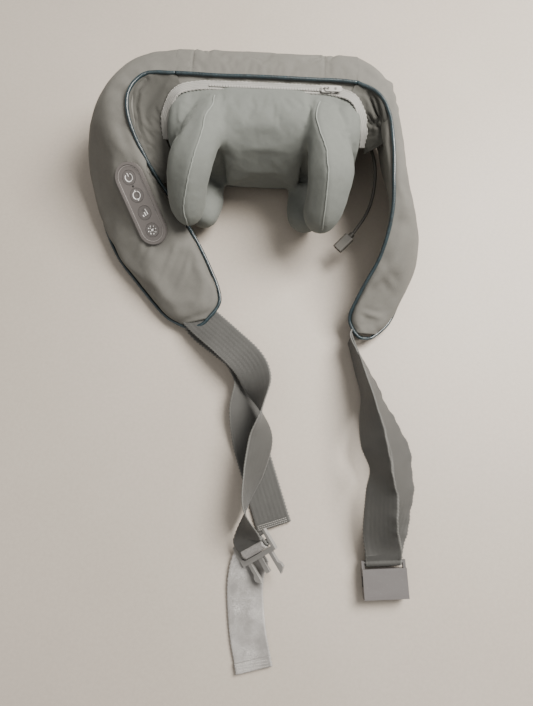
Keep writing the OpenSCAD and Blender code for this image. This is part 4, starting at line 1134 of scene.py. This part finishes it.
def lining_flap(name, side, zip_side, seam_side, pinches):
    """Fabric from the outer edge of the zip to the lobe's inner seam, in a darker copy of the grey
    knit: painted shade of its deep folds.
    """
    rows = np.linspace(0, 1, 20)
    grid = []
    for k, a, b in zip(np.linspace(0, 1, 56), evenly(zip_side, 56), evenly(seam_side, 56)):
        p = a + (b - a) * rows[:, None]
        sag = 0.16 * np.linalg.norm(b - a) * np.sin(np.pi * rows)
        p[:, 2] -= sag * (0.4 + 0.6 * math.sin(math.pi * k))
        grid.append(p)
    if side > 0:
        grid = grid[::-1]
    flap = sheet(name, grid, 1.5, M["knit_inner"])
    ends, edges = [0, -1], np.s_[:, [0, 1, -2, -1]]
    simulate(flap, hold(grid, ends, edges, both=True), pressure=1.2, grow=0.012, cap=2.5,
             frames=16, stiffness=14, bend=3.0)
    subdivide(flap)
    for pinch in pinches:
        fold(flap, *pinch)
    attach(flap, "knit_grey", ("module", ROOT[side][1], (side * 0.108, 0.010, 0.10),
                               (side * 0.146, 0.005, 0.10)), "inner_lining")


lining_flap("lining_left", -1,
            [[-92, 35, 116.8], [-100, 30.5, 115], [-110, 16, 106], [-113.2, 8, 99.4],
             [-112, -5, 88], [-106.4, -15, 78], [-103.5, -24, 60], [-100, -27, 42]],
            [[-98, 49.6, 118.6], [-118, 48.6, 119.6], [-137, 41, 119], [-148, 22, 115.6],
             [-148, 4, 109], [-142, -16, 99], [-129, -38, 81], [-116, -54, 64]],
            [([[-132, 41, 117], [-141, 30, 114], [-143, 14, 109], [-138, -8, 98], [-128, -28, 84]],
              3.4, 4.6, 2.2)])
lining_flap("lining_right", 1,
            [[92, 35, 116.8], [100, 30.5, 115], [110, 16, 106], [113.2, 8, 99.4],
             [114.4, -4, 88], [114.4, -12, 78]],
            [[98, 47.6, 118.6], [110, 42.6, 119.6], [121, 33.6, 119], [130, 18, 118],
             [135, 2, 116.5], [138, -16, 115]],
            [([[114, 36, 117], [122, 24, 113], [127, 10, 109], [128, -6, 104]], 3.4, 5.0, 2.4),
             ([[110, 20, 106], [119, 10, 104], [131, 4, 110]], 3.0, 3.0, 1.4)])

# ------------------------------------------------------------- padded base

def rounded_outline(x, y, r):
    """Rectangle with round corners: half length, half width, radius."""
    pts = []
    for sx, sy, a0 in ((1, 1, 0), (-1, 1, 90), (-1, -1, 180), (1, -1, 270)):
        for k in range(11):
            a = math.radians(a0 + 90 * k / 10)
            pts.append((sx * (x - r) + r * math.cos(a), sy * (y - r) + r * math.sin(a)))
    return pts


low, high = (np.array(v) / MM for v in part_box("base_cover"))
mid = (low + high) / 2
rings = []
for z, inset in ((0.0, 34), (0.0, 12), (0.05, 5), (0.6, 1.9), (1.8, 0.4), (3.4, 0.0), (3.7, 0.9),
                 (4.0, 0.0), (5.6, 0.4), (6.8, 1.9), (7.2, 6), (7.2, 14), (7.2, 34)):
    half = (high - low) / 2 - [inset, min(inset, 30), 0]
    rings.append([(mid[0] + x, mid[1] + y, low[2] + z)
                  for x, y in rounded_outline(*half[:2], max(12 - inset * 0.4, 2))])
base = skin_rings("base_pad", rings, M["knit_grey"])
subdivide(base)
ripple(base, (0.25, 0.04, 8.1), fade=lambda co: smooth(co[:, 2] / 2))
attach(base, "knit_grey", "module", "base_cover")

# ------------------------------------------------------------ control panel

line = stadium_line(*BORDER, 20)
t = np.roll(line, -1, 0) - np.roll(line, 1, 0)
t /= np.maximum(np.linalg.norm(t, axis=1, keepdims=True), 1e-9)
outwards = np.column_stack([t[:, 1], -t[:, 0]])
section = ((-0.5, 0.9), (0.5, 0.9), (0.5, 1.26), (0.3, 1.34), (-0.3, 1.34), (-0.5, 1.26))
rings = [[on_panel([*(q + o * x * 0.55), z]) for x, z in section] for q, o in zip(line, outwards)]
border = skin_rings("panel_border", rings, M["mark"], None, False, True)
attach(border, "panel", "left_lobe")
led = [[on_panel([-20.5 + 1.2 * math.cos(a), 0.4 + 1.2 * math.sin(a), z]) for a in turns(16)]
       for z in (1.1, 1.3)]
attach(skin_rings("panel_led", led, M["dark_hole"]), "panel", "left_lobe")


def dish(r):
    """Height of a button's dished face at radius r."""
    return 21 - math.sqrt(20.1 ** 2 - r * r)


def strokes(key, lines, width=0.85, turn=0.0):
    """Printed sign on a button: each line becomes a thin closed bar with round ends."""
    centre = (KEYS.index(key) - 1.5) * KEY_PITCH
    verts, faces = [], []
    c, s = math.cos(turn), math.sin(turn)
    for line in lines:
        p, _ = resample(np.column_stack([line, np.zeros(len(line))]), 0.3)
        t = tangents(p)
        base = len(verts)
        for i in range(len(p)):
            nor = np.array([t[i, 1], -t[i, 0]])
            taper = 0.75 if i in (0, len(p) - 1) else 1.0
            for sgn, lift in ((-1, -0.1), (1, -0.1), (1, 0.1), (-1, 0.1)):
                q = p[i, :2] + nor * sgn * width / 2 * taper
                x, y = c * q[0] - s * q[1], s * q[0] + c * q[1]
                verts.append(on_panel([centre + x, y, dish(math.hypot(x, y)) + lift]))
        faces += [tuple(base + i for i in f) for f in tube_faces(len(p), 4)]
    attach(make(f"sign_{key}", verts, faces, None, M["icon"], False), "key", f"{key}_key")


def arc(r, a0, a1, n=26):
    return [(r * math.cos(a), r * math.sin(a)) for a in np.radians(np.linspace(a0, a1, n))]


def spokes(r0, r1, angles):
    return [[(r * math.cos(a), r * math.sin(a)) for r in (r0, r1)] for a in angles]


arrow = [[(4.1, -1.6), (4.3, 0.9)], [(6.0, -0.7), (4.3, 0.9)]]
turned = [[(-x, -y) for x, y in a] for a in arrow]
strokes("power", [arc(4.3, 215, 505, 40), [(-5.2, 0), (-1.2, 0)]])
strokes("direction", [arc(4.3, 15, 150), arc(4.3, 195, 330), *arrow, *turned])
strokes("speed", [[(3.4, -2.9), (1.2, -2.9)], [(3.4, -0.1), (-0.9, -0.1)], [(3.4, 2.7), (-3.4, 2.7)]],
        1.15, 0.12)
strokes("heat", [arc(0.75, 0, 360, 12)] + spokes(2.6, 3.2, 0.4 + turns(4))
        + spokes(4.0, 5.1, turns(8)), 1.15)

# ------------------------------------------------------- straps and buckles

# each buckle turns about its bar: its place, its direction, and the way out along the webbing
BAR_L = pivot("male_buckle_tilt")
DIR_L = -unit(JOINTS["male_buckle_tilt"]["axis"])
FWD_L = unit(np.cross(DIR_L, [0, 0, 1]))
UP_L = np.cross(FWD_L, DIR_L)
BAR_R = pivot("female_buckle_tilt")
DIR_R = -unit(JOINTS["female_buckle_tilt"]["axis"])
FWD_R = unit(np.cross(DIR_R, [0, 0, 1]))
WRAP = 2.2 + 0.5 + 0.8      # bar radius, play, half the webbing
WEB_WIDTH = 38


def wrap(mid, across, fwd, up, a0, a1, r=WRAP, n=15):
    """Stations of webbing turning round a bar."""
    return [[*(mid + r * (-math.cos(a) * fwd + math.sin(a) * up)), *across]
            for a in np.radians(np.linspace(a0, a1, n))]


upper = spline([[-71, -190, 16.5, -.76, -.65, 0], [-57, -203, 19, -.76, -.65, 0],
                [-32, -224, 24, -.8, -.59, .05], [-6, -248, 28, -.88, -.42, -.1],
                [6, -270, 31, -.8, -.3, -.45], [13, -300, 33, -.1, -.2, -.97],
                [14.5, -334, 30, .66, .1, -.74], [9, -367, 27, .6, .12, -.79],
                [2, -402, 27, .15, .05, -.98], [*(BAR_L - 10 * FWD_L + 5 * UP_L), *(-DIR_L)]], 10)
upper = np.concatenate([upper, wrap(BAR_L, -DIR_L, FWD_L, UP_L, 98, 215)])
strap = ribbon("strap_left_upper", upper, WEB_WIDTH, 1.6, M["webbing"], 1, 1.2, 20,
               lambda s, x: 0.5 * math.sin(s * 0.045 + 2 * x) * x * x)
attach(strap, "webbing", "left_strap", "strap_left")
# the pale end of the webbing, folded back over the buckle's bar
over = wrap(BAR_L, -DIR_L, FWD_L, UP_L, 28, 186, WRAP + 1.75, 22)
over = ribbon("strap_left_roll", over, 31, 1.6, M["webbing_pale"], 1, 0.7, 18)
attach(over, "webbing", "left_strap")

under = [[-72, -190, 12, .75, .66, 0], [-60, -205, 10, .72, .7, .1], [-36, -222, 9, .72, .68, .1],
         [-14, -240, 10, .9, .42, .1], [-2, -268, 12, .93, .1, -.35], [-5, -300, 10, .93, -.05, -.35],
         [1, -334, 5, .96, .25, -.1], [12, -366, 2.6, .95, .3, 0], [33.5, -425, 2, .94, .33, 0]]
tail = [[*(BAR_L + 2.0 * FWD_L - 6.0 * UP_L), *DIR_L], [11, -457, 9.8, .9, .2, .38],
        [7, -470, 4.8, 1, .03, .08], [6, -492, 3, 1, .04, 0], [11, -530, 2, .99, .1, 0],
        [20, -566, 2, .98, .2, 0]]


def hem(name, end, f, length, material):
    """Folded and stitched end lying on the webbing."""
    e, f = np.array(end[:3], float), unit(f)
    st = [[*(e - f * length * (1 - k) + [0, 0, 1.75]), *end[3:]] for k in np.linspace(0, 1, 5)]
    attach(ribbon(name, st, WEB_WIDTH, 1.5, material, 3, 1.0, 20), "webbing", "left_strap")
    w = unit(end[3:])
    for k in (0.22, 0.5, 0.78):
        c = e - f * length * k + [0, 0, 2.6]
        row = stitches(f"{name}_stitch{int(k * 100)}", [c - w * 17.5, c + w * 17.5], 2.2, 1.6,
                       0.22, (0, 0, 1), M["thread_pale"])
        attach(row, "webbing", "left_strap")


TAIL_BODIES = ("male_buckle", "left_strap", BAR_L * MM, (BAR_L + 35 * FWD_L) * MM)
for name, run, look, bodies in (("strap_left_under", under, "webbing", "left_strap"),
                                ("strap_left_tail", tail, "webbing_pale", TAIL_BODIES)):
    piece = ribbon(name, run, WEB_WIDTH, 1.6, M[look], 8, 1.2, 20,
                   lambda s, x: 0.28 * math.sin(s * 0.08) * (0.3 + x * x))
    attach(piece, "webbing", bodies, "strap_left_lower")
hem("under_hem", under[-1], (0.35, -0.93, 0), 7, M["webbing"])
hem("tail_hem", tail[-1], (0.26, -0.96, 0), 10, M["webbing_pale"])

right = spline([[122, -188, 9, .3, .2, -.93], [113.5, -209, 12, .2, .15, -.97],
                [121, -231, 19, .2, .2, -.95], [131, -253, 23, .3, .2, -.93],
                [148, -297, 24, .5, .25, -.82], [164, -331, 22, .68, .2, -.7],
                [169.5, -360, 20, .72, .03, -.68], [168, -392, 18, .78, 0, -.62],
                [151.5, -444, 9.2, *DIR_R]], 10)
back = spline([[149.5, -445, 18.5, *DIR_R], [144, -426, 29, .88, .05, .46],
               [142.5, -406, 36, .8, .08, .6], [142.5, -384, 40, .72, .1, .68],
               [141, -360, 43, .42, .05, .9], [134, -334, 44, .6, -.1, .78],
               [129, -306, 40, .42, -.05, .9], [126, -276, 33, .12, .05, .99],
               [119, -246, 25, .05, .1, .99], [111, -212, 14, .1, .15, .98]], 10)
turn = wrap(BAR_R, DIR_R, FWD_R, np.array([0, 0, 1.0]), -62, -298)


def curl(s, x):
    """The outer edge of the right strap waves, but not at its ends."""
    waves = 0.9 * math.sin(s * 0.16) + 0.5 * math.sin(s * 0.41)
    return waves * max(0, x) ** 3 * smooth((s - 30) / 60) * smooth((470 - s) / 40)


strap = ribbon("strap_right_loop", np.concatenate([right, turn, back]), WEB_WIDTH, 1.6,
               M["webbing"], 1, 1.2, 20, curl, (44, 44))
attach(strap, "webbing", "right_strap", "strap_right")

# --------------------------------------------------------------------- lead

LEAD = [[109.6, 12, 70], [115, 10.6, 70], [123, 3, 69], [129, -17, 65], [130, -42, 56],
        [124, -67, 46], [110, -89, 36]]
lead = tube("lead_cord", resample(spline(LEAD, 10), 1.2)[0], 1.9, M["lead_rubber"], 14)
attach(lead, "lead_rubber", "lead", "charge_cable")
# ribs of the strain relief behind the plug
aim = unit([-17, -18, -4])
beside = unit(np.cross([0, 0, 1], aim))
above = np.cross(aim, beside)
foot = np.array(LEAD[-1]) + aim * 0.9
for k in range(4):
    c = foot + aim * (1.4 + 1.25 * k)
    r = 3.0 + 0.12 * k
    rings = []
    for a in turns(24):
        spoke = beside * r * math.cos(a) + above * r * math.sin(a)
        rings.append([c + spoke + 0.42 * (math.cos(b) * unit(spoke) + math.sin(b) * aim)
                      for b in turns(6)])
    rib = skin_rings(f"lead_relief{k}", rings, M["lead_rubber"], None, False, True)
    attach(rib, "lead_rubber", "lead")

# ----------------------------------------------------- finish of the CAD nodes

# material, width of the rounded edge, nodes
FINISH = (
    ("housing", 0.5, "front_shell rear_shell"),
    ("housing", 0, "motor_end_cap"),
    ("steel", 0, "screws motor_can motor_shaft drive_shaft hub_left hub_right hub_bearings"),
    ("gear_housing", 0.5, "gearbox_left gearbox_right"),
    ("brass", 0, "worm shaft_bushes"),
    ("wheel_nylon", 0, "worm_wheel"),
    ("hand_plastic", 0.8, "hand_left hand_right"),
    ("hand_plastic", 0.4, "limit_guides battery_holder"),
    ("hand_plastic", 0, "panel_tray"),
    ("pad_silicone", 0, "finger_pads_left finger_pads_right"),
    ("cell_wrap", 0, "battery_cells"),
    ("board", 0, "main_board panel_board"),
    ("board_parts", 0, "board_parts"),
    ("heater", 0, "heater_film"),
    ("wire", 0, "wiring_harness"),
    ("zip_coil", 0.2, "zip_teeth"),
    ("zip_metal", 0.3, "zip_slider"),
    ("zip_metal", 0.15, "zip_pull"),
    ("panel", 0.5, "panel_bezel"),
    ("key", 0.35, "button_power button_direction button_speed button_heat"),
    ("lead_rubber", 0.3, "lead_grommet"),
    ("lead_rubber", 0.7, "charge_plug"),
    ("contacts", 0, "plug_contacts"),
    ("buckle", 0.9, "buckle_female"),
    # the male buckle's paler plastic is a painted highlight
    ("buckle_pale", 0.6, "buckle_male"),
)
for look, edge, names in FINISH:
    for name in names.split():
        obj = frame["nodes"][name]
        obj.data.materials.clear()
        obj.data.materials.append(M[look])
        if edge:
            m = obj.modifiers.new("edge", "BEVEL")
            m.width = edge * MM
            m.segments = 2
            m.limit_method = "ANGLE"
            m.angle_limit = math.radians(38)
            m.use_clamp_overlap = True

# -------------------------------------------------------------------- studio

corners = [(-3000, -3000, -0.6), (3000, -3000, -0.6), (3000, 3000, -0.6), (-3000, 3000, -0.6)]
ground = make("floor", corners, [(0, 1, 2, 3)])
n = Nodes("floor_paint")
blotch = n.noise(2.2, 5, 0.6)
base = n.ramp(blotch, (0.35, (0.435, 0.388, 0.335)), (0.7, (0.480, 0.432, 0.376)))
grain = n.ramp(n.noise(260, 3, 0.7), (0.35, (0.380, 0.340, 0.294)), (0.65, (0.515, 0.464, 0.405)))
ground.data.materials.append(n.finish(n.mix(0.2, base, grain), n.vary(blotch, 0.42, 0.58),
                                      n.bump(n.noise(120, 4, 0.6), 0.12, 0.0006)))

world = bpy.data.worlds.new("studio")
bpy.context.scene.world = world
world.use_nodes = True
sky = world.node_tree.nodes["Background"].inputs
sky[0].default_value = (1.0, 0.965, 0.915, 1)
sky[1].default_value = 0.42


def area(name, at, to, size, power, colour):
    light = bpy.data.lights.new(name, "AREA")
    light.shape = "RECTANGLE"
    light.size = light.size_y = size
    light.energy = power
    light.color = colour
    obj = bpy.data.objects.new(name, light)
    bpy.context.scene.collection.objects.link(obj)
    obj.location = at
    obj.rotation_euler = (Vector(to) - Vector(at)).to_track_quat("-Z", "Y").to_euler()


area("key", (0.78, 0.30, 1.20), (0.03, -0.1, 0.0), 0.8, 62, (1.0, 0.955, 0.895))
area("fill", (-0.4, -0.9, 1.8), (0.0, -0.2, 0.0), 1.4, 4, (1.0, 0.965, 0.915))

camera = bpy.data.cameras.new("camera")
camera.sensor_fit = "VERTICAL"
camera.sensor_height = 36
camera.lens = 27.54
eye = bpy.data.objects.new("camera", camera)
bpy.context.scene.collection.objects.link(eye)
look = Vector((-0.0127, 0.2416, -0.9703)).normalized()
across = Vector((0.9986, 0.0523, 0.0)).normalized()
upward = across.cross(look).normalized()
turn = Matrix((across, upward, -look)).transposed().to_4x4()
eye.matrix_world = Matrix.Translation((0.0231, -0.3843, 0.618)) @ turn
camera.clip_start = 0.01
bpy.context.scene.camera = eye
